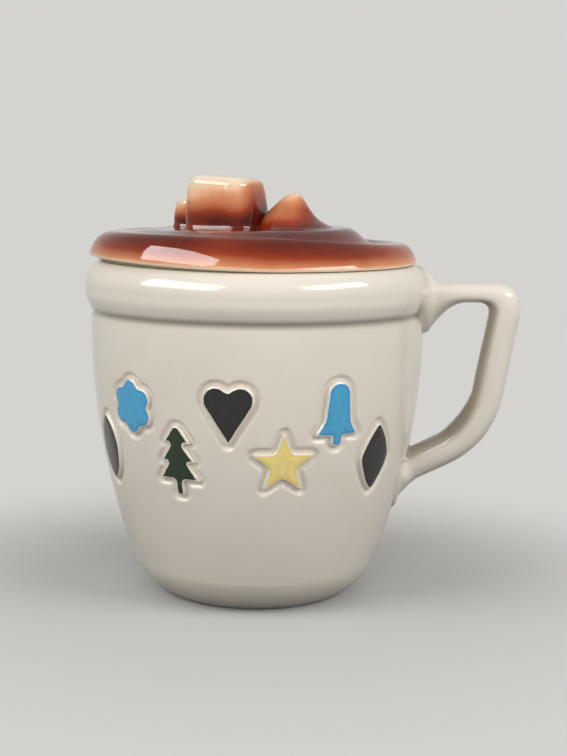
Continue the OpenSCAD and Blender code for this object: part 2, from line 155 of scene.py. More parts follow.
class HandleSizes(bpy.types.PropertyGroup):
    """The ear handle."""

    reach: length("Reach", HANDLE_REACH - 0.1, "Reach of the handle from the jar's axis")
    arm_drop: length("Arm drop", 14.9, "Distance of the upper arm's middle line below the rim")
    arm_over: length("Arm top", 6.2, "Height of the upper arm above its middle line")
    arm_under: length("Arm underside", 4.8, "Depth of the upper arm below its middle line")
    bar_t: length("Bar thickness", 17.2, "Thickness of the bar and the lower arm")
    grip_w: length("Grip width", 24, "Width of the handle across the grip")
    bar_lean: turn("Bar lean", 10.1, "Lean of the bar from upright")
    lower_z: length("Lower root height", 72.3, "Height at which the lower arm meets the wall")
    lower_rise: turn("Lower rise", 27.5, "Rise of the lower arm from level")
    upper_bend: length("Upper bend", 8.4, "Radius of the upper bend")
    lower_bend: length("Lower bend", 43.4, "Radius of the lower bend")
    knee_fill: length("Knee fill", 1.3, "Extra thickness inside the lower bend")
    web_drop: length("Web drop", 16.9, "Drop of the web under the upper arm")
    web_reach: length("Web reach", 21, "Reach of that web along the arm")
    pad_w: length("Pad width", 43, "Width of the boss where the upper arm meets the band")
    pad_in: length("Pad start", 3, "Depth behind the band's face at which that boss is widest")
    pad_reach: length("Pad thickness", 5, "How far that boss stands out from the band")
    root_lift: length("Root lift", 6.8, "Rise of the arm's top where it meets the band")
    root_reach: length("Root reach", 7, "Reach of that rise along the arm")
    root_in: length("Root start", 3.5, "Depth behind the band's face at which it is full")
    pad_sag: length("Pad sag", 5.5, "Drop of the boss's own lower edge")
    spine_w: length("Web width", 13, "Half width of the web; the root's rise is a bit narrower")
    inner_bend: length("Inner bend", 4.6, "Radius inside the upper bend")
    corner_fill: length("Corner fill", 1.8, "Extra thickness outside the upper bend")
    foot_drop: length("Foot drop", 1.7, "Drop of the web under the lower arm, at the wall")
    foot_reach: length("Foot reach", 6.2, "Reach of that web along the arm")
    foot_rise: length("Foot rise", 1.7, "Rise of the web on top of the lower arm")
    foot_w: length("Foot width", 29, "Width of the lower root at the wall")
    fillet: length("Fillet", 3, "Soft clay line where the roots meet the jar")
    strap_up: length("Strap height", 0.7, "How far the wall between the roots stands out")


class LidSizes(bpy.types.PropertyGroup):
    """The lid: a puddle of cocoa with a round lip."""

    lid_in: length("Lid inset", 4.9, "How far the lid's outline lies inside the band")
    shift: length("Lid shift", 2.5, "How much the outline sits off the middle")
    lip_h: length("Lip height", 14.25, "Thickness of the lip, at its mean")
    shoulder_w: length("Shoulder width", 12.8, "Width of the lip's round shoulder, at its mean")
    shoulder_more: length("Shoulder change", 1.2, "How much wider it is away from the handle")
    lip_lift: length("Lip lift", 3.3, "Lift of the lip's lower edge away from the handle")
    lip_slope: length("Lip slope", 2.55, "Rise of the lip from its mean, away from the handle")
    lip_front: length("Lip front", 2.85, "Rise of the lip from its mean, at the front")
    back_dip: length("Back dip", 1.4, "Dip of the lip behind the handle")
    middle_z: length("Middle height", LID_TOP, "Height of the raised middle")
    middle_fall: length("Middle fall", 1.4, "Fall of the raised middle, away from the handle")
    middle_r: length("Middle radius", 53.5, "Radius of the raised middle")
    middle_shift: length("Middle shift", 5.5, "How much the raised middle sits off the axis")
    trough: length("Trough", 1.6, "Depth of the trough between the middle and the lip")
    ridge: length("Ridge", 0.8, "Height of the swirled ridge in front")
    seat_gap: length("Seat gap", 0.55, "Gap that shows between the lip and the rim")
    edge_drop: length("Lower edge height", 1.2, "Height of the lip's lower edge, at its mean")
    edge_less: length("Lower edge change", 0.1, "How much lower that edge is at the handle")
    edge_in: length("Lower edge inset", 1, "Inset of the lip's lower edge")
    hollow_h: length("Hollow height", 11, "Height of the hollow under the lid")
    collar_h: length("Collar depth", 12, "Depth of the collar that holds the lid")
    collar_t: length("Collar thickness", 5, "Thickness of the collar")
    collar_gap: length("Collar clearance", 0.8, "Clearance of the collar in the mouth")


class MarshmallowSizes(bpy.types.PropertyGroup):
    """What floats on the cocoa."""

    knob_w: length("Knob side", 38.5, "Side of the large marshmallow")
    knob_h: length("Knob height", KNOB_TOP - LID_TOP + 0.7, "Height of the knob")
    knob_x: length("Knob place", 16.5, "Distance of the knob from the axis")
    knob_turn: turn("Knob turn", -11, "Turn of the knob")
    knob_drop: length("Knob drop", 2.2, "Drop of the knob's top towards the handle")
    knob_lean: length("Knob lean", 1.2, "Lean of the knob away from the handle")
    knob_round: length("Knob edge", 5.6, "Radius of the knob's top edge")
    small_w: length("Small side", 24, "Width of the small marshmallow")
    small_h: length("Small height", 14.9, "Height of the small marshmallow")
    small_x: length("Small place across", 23.5, "Place of the small marshmallow from the knob")
    small_y: length("Small place back", 31.8, "Place of the small marshmallow behind the knob")
    small_round: length("Small edge", 4.2, "Radius of the small marshmallow's top edge")
    peak_h: length("Peak height", 18.7, "Height of the cream's peak")
    peak_reach: length("Peak reach", 26, "Reach of the peak's foot from its tip")
    peak_x: length("Peak place", 37.8, "Distance of the peak from the knob's middle")


class GlazeTones(bpy.types.PropertyGroup):
    """The glazes, as they look in plain light."""

    cream: tone("Cream", (226, 218, 205), "Glaze of the jar")
    # this darker cream is also painted shade, with some pooled glaze, in the pockets, on the
    # shapes' feet, inside the jar and on the handle's inner side
    cream_deep: tone("Pooled cream", (198, 186, 164), "The same glaze where it is thick")
    # painted shade, with some gathered grime, in the crease under the band, where the handle's
    # roots meet the jar and along its inner side
    seam: tone("Seams", (128, 120, 106), "What has gathered in the crease under the band")
    speck: tone("Specks", (150, 128, 104), "Iron specks in the cream glaze")
    clay: tone("Bare clay", (226, 216, 198), "Unglazed clay of the foot ring and collar")
    cocoa: tone("Cocoa", (76, 15, 6), "Sprayed glaze at its thickest")
    rust: tone("Rust", (144, 52, 22), "Sprayed glaze on the slopes")
    orange: tone("Orange", (207, 134, 92), "Sprayed glaze towards the edges")
    tan: tone("Tan", (236, 194, 156), "Thinnest mist of sprayed glaze")
    milk: tone("Milk", (229, 216, 194), "Glaze of the marshmallows' tops")
    black: tone("Black", (42, 38, 35), "Painted face of the heart and the diamond")
    black_deep: tone("Deep black", (24, 21, 19), "The same paint where it is thick")
    brown: tone("Brown", (56, 42, 36), "Painted face of the leaf")
    brown_deep: tone("Deep brown", (32, 23, 19), "The same paint where it is thick")
    blue: tone("Blue", (84, 174, 210), "Painted face of the flower and the bell")
    blue_deep: tone("Deep blue", (34, 142, 200), "The same paint where it is thick")
    green: tone("Green", (33, 56, 27), "Painted face of the tree")
    green_deep: tone("Deep green", (20, 36, 16), "The same paint where it is thick")
    yellow: tone("Yellow", (240, 205, 84), "Painted face of the star")
    yellow_pale: tone("Pale yellow", (238, 222, 156), "The same paint where it is thin")
    gloss: share("Gloss", 0.93, "Smoothness of the glazes")


class StageSizes(bpy.types.PropertyGroup):
    """Camera, lamps and floor."""

    lens: length("Lens", 71.43, "Focal length, on a sensor 36 mm long")
    distance: length("Distance", 833, "Level distance of the camera from the jar's axis")
    height: length("Height", 239, "Height of the camera")
    azimuth: turn("Azimuth", 9, "Turn of the camera round the jar, towards the handle")
    tilt: turn("Tilt", 8.165, "Tilt of the camera below level")
    roll: turn("Roll", 0.55, "Roll of the camera")
    shift: share("Shift", 27.3 / 756, "Sideways shift of the lens, in picture heights")
    side_power: watts("Side lamps", 11, "Power of each side lamp")
    front_power: watts("Front lamp", 10, "Power of the front lamp")
    window_light: bpy.props.FloatProperty(
        name="Window light", description="Brightness of the two windows that only gloss shows",
        default=17, min=0)
    sky: share("Sky", 0.4, "Strength of the light from all round")
    paper: tone("Paper", (212, 211, 208), "Colour of the background")
    ground: tone("Ground", (200, 199, 196), "Colour of the floor, which the lamps make paler")
    bounce: tone("Bounce", (70, 69, 67), "Colour of the light that the floor throws back")


class JarSettings(bpy.types.PropertyGroup):
    """All settings of the biscuit jar."""

    jar: bpy.props.PointerProperty(type=JarSizes, name="Jar")
    relief: bpy.props.PointerProperty(type=ReliefSizes, name="Relief shapes")
    handle: bpy.props.PointerProperty(type=HandleSizes, name="Handle")
    lid: bpy.props.PointerProperty(type=LidSizes, name="Lid")
    sweets: bpy.props.PointerProperty(type=MarshmallowSizes, name="Marshmallows")
    glaze: bpy.props.PointerProperty(type=GlazeTones, name="Glazes")
    stage: bpy.props.PointerProperty(type=StageSizes, name="Stage")


def in_mm(group):
    """A property group's values, with its lengths in millimetres and its angles in degrees."""
    factors = {"LENGTH": 1 / MM, "ROTATION": 180 / math.pi}
    return SimpleNamespace(**{
        p.identifier: getattr(group, p.identifier) * factors.get(p.unit, 1)
        for p in group.bl_rna.properties if p.type == "FLOAT" and not p.is_array})


def chosen(name):
    """One group of the jar's settings."""
    return getattr(bpy.context.scene.biscuit_jar, name)


def sizes(name):
    """The numbers of that group, in millimetres and degrees."""
    return in_mm(chosen(name))


# ---- shape helpers, in millimetres ----


def smooth(t):
    """Soft step from 0 to 1."""
    t = np.clip(t, 0, 1)
    return t * t * (3 - 2 * t)


def degrees_at(points):
    """Angle of each point round the axis, from 0 to 360."""
    return np.degrees(np.arctan2(points[:, 1], points[:, 0])) % 360


def warp_at(a):
    """How far the warped rim has risen at an angle: 1 away from the handle, 0 at its side."""
    return smooth((WARP_END - a) / WARP_FALL) * smooth((a - WARP_START) / WARP_RISE)


def hump(d, width):
    """Soft bump of height 1 at distance 0."""
    return np.exp(-np.square(d / width))


def radii(points):
    """Distance of each point from the axis."""
    return np.hypot(points[:, 0], points[:, 1])


def unit(v):
    """The vector's direction."""
    return v / np.linalg.norm(v)


def unit_rows(v):
    """The direction of each row."""
    return v / np.maximum(np.linalg.norm(v, axis=1), 1e-6)[:, None]


def round_steps(count):
    """Even angles once round, in radians."""
    return np.linspace(0, 2 * math.pi, count, endpoint=False)


def arc(centre, radius, start, end, count):
    """Points on an arc from one angle in degrees to another, both ends with it."""
    t = np.radians(np.linspace(start, end, count))
    return np.column_stack([centre[0] + radius * np.cos(t), centre[1] + radius * np.sin(t)])


def squircle(t, power):
    """Point of a rounded square of half width 1 at angle t, in radians."""
    c, s = np.cos(t), np.sin(t)
    return (np.sign(c) * np.abs(c) ** (2 / power), np.sign(s) * np.abs(s) ** (2 / power))


def ripple(points, size, seed=0.0):
    """Soft noise from -1 to 1 at each point; size is the width of its waves."""
    offset = Vector((seed, 1.7 * seed, 0.6 * seed))
    return np.array([noise.noise(Vector(p) / size + offset) for p in points])


def places(bm):
    """Where all the vertices are."""
    return np.array([v.co[:] for v in bm.verts])


def put(bm, points):
    """Moves all the vertices to points."""
    for vertex, point in zip(bm.verts, points):
        vertex.co = point


def next_ring(bm, ring):
    """Extrudes a closed ring of vertices and returns the new ring in the same order."""
    edges = [bm.edges.get(pair) for pair in zip(ring, ring[1:] + ring[:1])]
    made = bmesh.ops.extrude_edge_only(bm, edges=edges)["geom"]
    fresh = {v for v in made if isinstance(v, bmesh.types.BMVert)}
    return [next(w for w in (e.other_vert(v) for e in v.link_edges) if w in fresh) for v in ring]


def closed(bm):
    """Fills a skin's open ends and points its faces outwards."""
    bmesh.ops.holes_fill(bm, edges=[e for e in bm.edges if e.is_boundary])
    bmesh.ops.recalc_face_normals(bm, faces=bm.faces)
    return bm


def lofted(rings):
    """A closed skin over rings of equal length, with its vertices in the rings' order."""
    bm = bmesh.new()
    circle = bmesh.ops.create_circle(bm, cap_ends=False, segments=len(rings[0]), radius=1)
    ring = list(circle["verts"])
    for index, points in enumerate(rings):
        ring = next_ring(bm, ring) if index else ring
        for place, (vertex, point) in enumerate(zip(ring, points)):
            vertex.co, vertex.index = point, index * len(ring) + place
    bm.verts.sort()
    return closed(bm)


def thrown(profile, degrees):
    """A profile of (radius, height) carried round the axis, with a row of faces between angles."""
    bm = bmesh.new()
    bmesh.ops.create_grid(bm, x_segments=len(profile) - 1, y_segments=len(degrees), size=1)
    t = np.radians(np.append(degrees, degrees[0] + 360))[:, None]
    r, z = np.asarray(profile, float).T
    put(bm, np.stack([r * np.cos(t), r * np.sin(t), z + 0 * t], axis=2).reshape(-1, 3))
    bm.verts.ensure_lookup_table()
    seam = bm.verts[:len(profile)] + bm.verts[-len(profile):]
    bmesh.ops.remove_doubles(bm, verts=seam, dist=0.001)
    return closed(bm)


def spun(profile, steps):
    """A closed profile of (radius, height) turned once round the axis."""
    bm = bmesh.new()
    ring = [bm.verts.new((r, 0, z)) for r, z in profile]
    edges = [bm.edges.new(pair) for pair in zip(ring, ring[1:] + ring[:1])]
    bmesh.ops.spin(bm, geom=ring + edges, cent=(0, 0, 0), axis=(0, 0, 1), angle=2 * math.pi,
                   steps=steps, use_merge=True)
    bmesh.ops.remove_doubles(bm, verts=bm.verts, dist=0.01)
    bmesh.ops.recalc_face_normals(bm, faces=bm.faces)
    return bm


def in_order(bm):
    """Sorts edges and faces by their vertices, because the operators leave them in any order."""
    bm.verts.index_update()
    for parts in (bm.edges, bm.faces):
        parts.sort(key=lambda part: min(v.index for v in part.verts) * len(bm.verts)
                   + max(v.index for v in part.verts))


def placed(name, data):
    """A new object of the scene."""
    made = bpy.data.objects.new(name, data)
    bpy.context.scene.collection.objects.link(made)
    return made


def finished(bm, name, body, nodes, slot, material, **marks):
    """Makes a bmesh in millimetres a smooth piece on a body, in the place of CAD nodes.

    Each of the marks is a number for every vertex, which the materials read.
    """
    bmesh.ops.scale(bm, vec=(MM, MM, MM), verts=bm.verts)
    in_order(bm)
    mesh = bpy.data.meshes.new(name)
    bm.to_mesh(mesh)
    bm.free()
    mesh.shade_smooth()
    for mark, values in marks.items():
        layer = mesh.attributes.new(mark, "FLOAT", "POINT")
        layer.data.foreach_set("value", np.asarray(values, np.float32))
    mesh.materials.append(material)
    piece = placed(name, mesh)
    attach(piece, body)
    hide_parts(*nodes)
    return piece


# ---- the jar's side view ----


class JarForm:
    """The jar's side view, from its sizes."""

    # heights between which the rows of faces are close, for the pockets
    fine_low, fine_high = 61, 139
    # radii of the last rows before the axis, inside and below
    hub = (20, 4)

    def __init__(self):
        s = self.s = sizes("jar")
        self.band_r = s.wall_r + s.band_out
        self.mouth_r = self.band_r - s.mouth_in
        self.crease_z = s.rim_z - s.band_h
        self.upright_z = self.crease_z - s.upright_drop
        self.wall_cx = s.wall_r - s.wall_arc
        self.heel_z = s.heel_arc - s.heel_cut
        self.heel_x = self.touch(s.wall_arc, s.heel_arc, self.heel_z)
        self.inner_z = s.floor_t + s.inner_heel
        self.inner_x = self.touch(s.wall_arc - s.wall_t, s.inner_heel, self.inner_z)

    def touch(self, arc_r, r, z):
        """Where a circle of radius r at height z touches the long curve from inside."""
        return self.wall_cx + math.sqrt((arc_r - r) ** 2 - (z - self.upright_z) ** 2)

    def wall_at(self, z):
        """Radius of the wall at height z."""
        z = np.minimum(z, self.upright_z)
        return self.wall_cx + np.sqrt(self.s.wall_arc ** 2 - (z - self.upright_z) ** 2)

    def heel_end(self, x, z):
        """Angle at which the heel's circle, with its middle at x and z, meets the long curve."""
        return math.degrees(math.atan2(z - self.upright_z, x - self.wall_cx))

    def surface_at(self, z):
        """Radius of the jar's outside at height z, band included."""
        s, t = self.s, (np.asarray(z, float) - self.crease_z) / self.s.swell_h
        wall = self.wall_at(z) + s.band_out * np.sin(np.clip(t, 0, 1) * math.pi / 2) ** 1.5
        above = np.clip(z - self.round_z(), 0, s.rim_round)
        return wall - s.rim_round + np.sqrt(s.rim_round ** 2 - above ** 2)

    def round_z(self):
        """Height of the middle of the band's round top edge."""
        s = self.s
        flat_out = self.mouth_r + s.rim_w - (self.band_r - s.rim_round)
        return s.rim_z - math.sqrt(s.rim_round ** 2 - flat_out ** 2)

    def outside(self):
        """Points (radius, height) from the foot up to the rim."""
        s = self.s
        end = self.heel_end(self.heel_x, self.heel_z)
        heel = arc((self.heel_x, self.heel_z), s.heel_arc,
                   -math.degrees(math.asin(self.heel_z / s.heel_arc)), end, 18)
        z = np.concatenate([np.linspace(low, high, count)[1:] for low, high, count in (
            (heel[-1][1], self.fine_low, 14), (self.fine_low, self.fine_high, 98),
            (self.fine_high, self.crease_z, 12), (self.crease_z, self.round_z(), 16))])
        side = np.column_stack([self.surface_at(z), z])
        rise = math.degrees(math.asin((s.rim_z - self.round_z()) / s.rim_round))
        top = arc((self.band_r - s.rim_round, self.round_z()), s.rim_round, 0, rise, 14)
        return np.vstack([heel, side, top[1:]])

    def inside(self):
        """Points from the rim down to the middle of the floor."""
        s, lip_round, lip_step = self.s, 1.5, 2
        t = np.linspace(0, 1, 7)
        lip = arc((self.mouth_r + lip_round, s.rim_z - lip_round), lip_round, 90, 180, 5)
        under = np.column_stack([
            self.mouth_r + (s.wall_r - s.wall_t - self.mouth_r) * smooth(t),
            self.crease_z + s.swell_h + (lip_step - s.swell_h) * t])
        end = self.heel_end(self.inner_x, self.inner_z)
        wall = arc((self.wall_cx, self.upright_z), s.wall_arc - s.wall_t, 0, end, 14)
        heel = arc((self.inner_x, self.inner_z), s.inner_heel, end, -90, 10)
        return np.vstack([lip, under, wall, heel[1:], [[r, s.floor_t] for r in self.hub]])

    def underside(self, foot_r):
        """Points from the middle of the recess out to the foot ring, which ends at foot_r."""
        deep, inner = self.s.foot_recess, foot_r - self.s.foot_w
        return [[r, deep] for r in self.hub[::-1]] + [
            [inner - deep - 1, deep], [inner - deep, deep * 0.85], [inner - 0.5, 0.3], [inner, 0]]


# ---- outlines of the relief shapes ----


def resampled(points, step):
    """Points at an even step along a closed outline."""
    loop = np.vstack([points, points[:1]])
    along = np.concatenate([[0], np.cumsum(np.hypot(*np.diff(loop, axis=0).T))])
    at = np.linspace(0, along[-1], max(12, round(along[-1] / step)), endpoint=False)
    return np.column_stack([np.interp(at, along, loop[:, k]) for k in (0, 1)])


def mirrored(right):
    """A closed outline from its right half, which runs from the bottom to the top."""
    right = np.asarray(right, float)
    left = right[::-1] * [-1, 1]
    return np.vstack([right, left])


def leaf_outline(size):
    half_w = size * 0.3
    r = ((size / 2) ** 2 / half_w + half_w) / 2
    reach = math.degrees(math.asin(size / 2 / r))
    return mirrored(arc((half_w - r, 0), r, -reach, reach, 30))


def flower_outline(size):
    petal = size * 0.16
    t = np.radians(np.arange(0, 360, 1.5))
    off = (t - math.radians(30) + math.pi / 6) % (math.pi / 3) - math.pi / 6
    out = petal * 1.5
    r = out * np.cos(off) + np.sqrt(np.maximum(petal ** 2 - (out * np.sin(off)) ** 2, 0))
    return np.column_stack([r * np.cos(t), r * np.sin(t)])


def tree_outline(size):
    tier, foot = size * 0.26, -size * 0.28
    right = [[0, -size / 2], [size * 0.07, -size / 2], [size * 0.07, foot]]
    for k in range(3):
        right += [[size * (0.33 - 0.05 * k), foot + k * tier],
                  [size * (0.15 - 0.05 * k), foot + (k + 1) * tier]]
    return mirrored(right)


def heart_outline(size):
    lobe = size * 0.2
    middle, tip = np.array([lobe * 0.84, size * 0.2]), np.array([0, -size * 0.44])
    d = middle - tip
    touch = math.degrees(math.atan2(d[1], d[0]) - math.asin(lobe / np.linalg.norm(d))) - 90
    side = arc(middle, lobe, touch, 180 - math.degrees(math.acos(middle[0] / lobe)), 30)
    return mirrored(np.vstack([[tip], side]))


def star_outline(size, points=5, k=0.97):
    t = np.radians(np.arange(0, 360, 2))
    bend = math.cos((2 * math.asin(k) + 3 * math.pi) / (2 * points))
    fold = np.cos((2 * np.arcsin(k * np.cos(points * t)) + 3 * math.pi) / (2 * points))
    r = size * 0.46 * bend / fold
    return np.column_stack([-r * np.sin(t), r * np.cos(t)])


def bell_outline(size):
    crown, hem = size * 0.19, -size * 0.32
    clapper = arc((0, hem - size * 0.06), size * 0.1, -90, 36.9, 12)
    side = [[size * 0.33, hem], [size * 0.33, hem + crown / 4], [crown * 1.18, -size * 0.12],
            [crown * 0.98, size * 0.26]]
    top = arc((0, size * 0.26), crown, 5, 90, 14)
    return mirrored(np.vstack([clapper, side, top]))


def diamond_outline(size):
    x, y = squircle(np.radians(np.arange(0, 360, 3)), 1.3)
    return np.column_stack([x * size * 0.31, y * size / 2])


OUTLINES = dict(zip(RELIEFS, (
    leaf_outline, flower_outline, tree_outline, heart_outline, star_outline, bell_outline,
    diamond_outline)))


def soft_outline(kind, s, step=0.6):
    """A shape's outline at an even step, with its corners rounded."""
    outline = resampled(OUTLINES[kind](s.size), step)
    for _ in range(max(1, round(2 * (s.corner_soft / step) ** 2))):
        outline = (np.roll(outline, 1, 0) + 2 * outline + np.roll(outline, -1, 0)) / 4
    return resampled(outline, step)


def edge_distance(points, outline):
    """Distance of flat points from a closed outline, negative inside it."""
    best, inside = np.full(len(points), 1e9), np.zeros(len(points), bool)
    for (ax, ay), (bx, by) in zip(outline, np.roll(outline, -1, 0)):
        dx, dy = bx - ax, by - ay
        px, py = points[:, 0] - ax, points[:, 1] - ay
        t = np.clip((px * dx + py * dy) / (dx * dx + dy * dy), 0, 1)
        best = np.minimum(best, np.hypot(px - t * dx, py - t * dy))
        crosses = (ay > points[:, 1]) != (by > points[:, 1])
        inside ^= crosses & (px < py * dx / (dy or 1))
    return np.where(inside, -best, best)


def relief_place(index, s):
    """Turn about the axis, in radians, and height of a shape's middle."""
    from_middle = index - len(RELIEFS) // 2
    return math.radians(from_middle * s.pitch), s.row_z + (s.swing if index % 2 else -s.swing)


def pocket_depth(points, s):
    """How deep the pockets round the shapes are at points on the wall."""
    depth = np.zeros(len(points))
    for index, kind in enumerate(RELIEFS):
        turned, middle = relief_place(index, s)
        across = points[:, 0] * math.cos(turned) + points[:, 1] * math.sin(turned)
        front = points[:, 1] * math.cos(turned) - points[:, 0] * math.sin(turned)
        up = points[:, 2] - middle
        reach = s.size / 2 + s.pocket_edge
        near = np.flatnonzero((np.abs(across) < reach) & (np.abs(up) < reach) & (front < 0))
        d = edge_distance(np.column_stack([across[near], up[near]]), soft_outline(kind, s))
        fall = 1 - smooth((d - s.pocket_flat) / (s.pocket_edge - s.pocket_flat))
        depth[near] = np.maximum(depth[near], s.pocket * fall)
    return depth


# ---- materials ----


class Mark:
    """One output of a shader node. Python's operators on it add Math nodes."""

    def __init__(self, finish, output):
        self.finish, self.output = finish, output

    def math(self, operation, *values):
        """A Math node on one or two values, of which each is a mark or a number."""
        return self.finish.node(
            "ShaderNodeMath", {"operation": operation}, dict(enumerate(values)))

    def __add__(self, other):
        return self.math("ADD", self, other)

    def __sub__(self, other):
        return self.math("SUBTRACT", self, other)

    def __rsub__(self, other):
        return self.math("SUBTRACT", other, self)

    def __mul__(self, other):
        return self.math("MULTIPLY", self, other)

    __radd__, __rmul__ = __add__, __mul__

    def larger(self, other):
        return self.math("MAXIMUM", self, other)

    def step(self, low, high):
        """Soft step from 0 at low to 1 at high."""
        return self.finish.node(
            "ShaderNodeMapRange", {"interpolation_type": "SMOOTHSTEP"},
            {"Value": self, "From Min": low, "From Max": high})


class Finish:
    """A material or a world that is being made, with one method for its nodes."""

    def __init__(self, name, kind="materials"):
        self.owner = getattr(bpy.data, kind).new(name)
        self.owner.use_nodes = True
        self.tree = self.owner.node_tree
        self.tree.nodes.clear()
        self.place = self.node("ShaderNodeTexCoord", output="Object")

    def node(self, kind, settings=None, inputs=None, output=0):
        """Adds a node with its settings and its sockets' values or links; returns one output."""
        made = self.tree.nodes.new(kind)
        for key, value in (settings or {}).items():
            if key == "stops":
                while len(made.color_ramp.elements) < len(value):
                    made.color_ramp.elements.new(0.5)
                for element, (at, colour) in zip(made.color_ramp.elements, value):
                    element.position, element.color = at, (*colour, 1)
            else:
                setattr(made, key, value)
        for key, value in (inputs or {}).items():
            if isinstance(value, Mark):
                self.tree.links.new(value.output, made.inputs[key])
            else:
                made.inputs[key].default_value = value
        return Mark(self, made.outputs[output]) if made.outputs else None

    def mark(self, name):
        """A number that the piece's mesh carries."""
        return self.node("ShaderNodeAttribute", {"attribute_name": name}, output="Fac")

    def clouds(self, size, detail=2, roughness=0.5, place=None):
        """Noise from 0 to 1 whose blotches are size millimetres wide."""
        return self.node(
            "ShaderNodeTexNoise", None,
            {"Vector": place or self.place, "Scale": 1 / (size * MM), "Detail": detail,
             "Roughness": roughness}, "Fac")

    def stretched(self, x, y, z):
        """Object coordinates squeezed along each axis."""
        return self.node("ShaderNodeMapping", None, {"Vector": self.place, "Scale": (x, y, z)})

    def seen(self):
        """1 for what is looked at, straight or in a mirror or through glass; 0 for light."""
        straight, glossy, through = (
            self.node("ShaderNodeLightPath", output=f"Is {ray} Ray")
            for ray in ("Camera", "Glossy", "Transmission"))
        return straight.larger(glossy).larger(through)

    def blend(self, factor, first, second):
        """Mix of two colours."""
        colours = [c if isinstance(c, Mark) else (*c, 1) for c in (first, second)]
        return self.node(
            "ShaderNodeMix", {"data_type": "RGBA"}, {0: factor, 6: colours[0], 7: colours[1]}, 2)

    def bump(self, height, distance, before=None):
        """Normal that is tilted by a height, whose full range is distance millimetres."""
        inputs = {"Height": height, "Distance": distance * MM}
        if before:
            inputs["Normal"] = before
        return self.node("ShaderNodeBump", None, inputs)

    def end(self, shader, kind="Material"):
        """Links a shader to the output and returns the finished material or world."""
        self.node(f"ShaderNodeOutput{kind}", None, {"Surface": shader})
        return self.owner

    def close(self, **sockets):
        """Ends the material with a Principled shader; names have _ for spaces."""
        inputs = {name.replace("_", " "): value for name, value in sockets.items()}
        return self.end(self.node("ShaderNodeBsdfPrincipled", None, inputs))


def ready(name, make):
    """The material of that name, made the first time."""
    return bpy.data.materials.get(name) or make()


def glaze_roughness(f, soft=1.0):
    """Gloss with faint fingered patches."""
    return f.clouds(22, 3) * (0.04 * soft) + (1 - chosen("glaze").gloss) * soft


def glaze_skin(f, wave=0.32):
    """The uneven skin that a dipped glaze has: slow waves and a fine orange peel."""
    slow = f.bump(f.clouds(26, 1), wave)
    return f.bump(f.clouds(2.2, 2), 0.012, before=slow)


def cream_colour(f):
    """Cream glaze with faint clouds, iron specks, pooled glaze mixed with painted shade, and
    painted shade with grime in the crease.
    """
    g = chosen("glaze")
    cloud = f.clouds(34, 3, 0.6).step(0.35, 0.75) * 0.22
    fine = f.clouds(3.5, 2).step(0.45, 0.8) * 0.07
    pool = f.mark("pool")
    base = f.blend((cloud + fine + pool * 0.75).step(0, 1.1), g.cream, g.cream_deep)
    dots = f.node("ShaderNodeTexVoronoi", {"feature": "F1"},
                  {"Vector": f.place, "Scale": 1 / (5.5 * MM), "Randomness": 1.0}, "Distance")
    chance = f.clouds(7, 1).step(0.56, 0.64) * f.clouds(48, 1).step(0.45, 0.62)
    specks = (1 - dots.step(0.035, 0.085)) * chance
    return f.blend(f.mark("seam") * 0.75, f.blend(specks * 0.6, base, g.speck), g.seam)


def cream_glaze():
    """The jar's glaze, with bare clay under the foot."""
    g = chosen("glaze")
    f = Finish("dipped_cream")
    bare = (f.mark("bare") + (f.clouds(3, 2) - 0.5) * 0.5).step(0.4, 0.6)
    grain = f.clouds(0.6, 3)
    return f.close(
        Base_Color=f.blend(bare, cream_colour(f), f.blend(grain, g.clay, g.cream_deep)),
        Roughness=glaze_roughness(f) * (1 - bare) + bare * 0.75, Specular_IOR_Level=0.2,
        Normal=glaze_skin(f))


def bare_clay():
    """Unglazed clay with a fine grain."""
    g = chosen("glaze")
    f = Finish("bare_clay")
    grain = f.clouds(0.8, 3, 0.7)
    stain = f.clouds(14, 3).step(0.5, 0.8) * 0.3
    return f.close(
        Base_Color=f.blend(grain * 0.25 + stain, g.clay, g.cream_deep),
        Roughness=grain * 0.2 + 0.6, Normal=f.bump(grain, 0.06))


def cocoa_glaze():
    """Brown glaze sprayed over cream: dark where it is thick, orange at the thin edges; the same
    mark carries painted shade and light on the marshmallows' sides and a painted highlight on the
    lid's ridge.
    """
    g = chosen("glaze")
    f = Finish("sprayed_cocoa")
    mist = (f.clouds(0.9, 2, 0.7) - 0.5) * 0.10 + (f.clouds(9, 3) - 0.5) * 0.16
    spray = f.mark("spray") + mist * f.mark("spray").step(0, 0.25)
    stops = [(0, g.milk), (0.15, g.tan), (0.32, g.orange), (0.68, g.rust), (1, g.cocoa)]
    colour = f.node("ShaderNodeValToRGB", {"stops": stops}, {"Fac": spray})
    return f.close(
        Base_Color=colour, Roughness=glaze_roughness(f, 0.7), Specular_IOR_Level=0.27,
        Normal=glaze_skin(f, 0.2))


def painted(name, paint, thick, streak, sheen=1.0):
    """A relief shape: cream, with its face painted by brush in one paint, darker where thick."""
    f = Finish(name)
    # the brush stops a little short of the edge, in an uneven line
    edge = f.mark("inset") + (f.clouds(1.6, 2) - 0.5) * 0.55 + (f.clouds(6, 1) - 0.5) * 0.6
    cover = edge.step(1.15, 1.5)
    strokes = f.clouds(2.4, 3, 0.6, f.stretched(1.0, 1.0, 0.28))
    rim_pool = 1 - f.mark("inset").step(1.4, 3.2)
    depth = (strokes - 0.5) * (2 * streak) + 0.4 + rim_pool * 0.35
    thin = f.clouds(2.0, 3, 0.65, f.stretched(1.2, 1.2, 0.35)).step(0.70, 0.82) * (streak * 0.5)
    colour = f.blend(depth.step(0, 1), paint, thick)
    return f.close(
        Base_Color=f.blend(cover * (1 - thin), cream_colour(f), colour),
        Roughness=glaze_roughness(f, sheen),
        Normal=f.bump(cover, 0.05, before=glaze_skin(f, 0.2)))


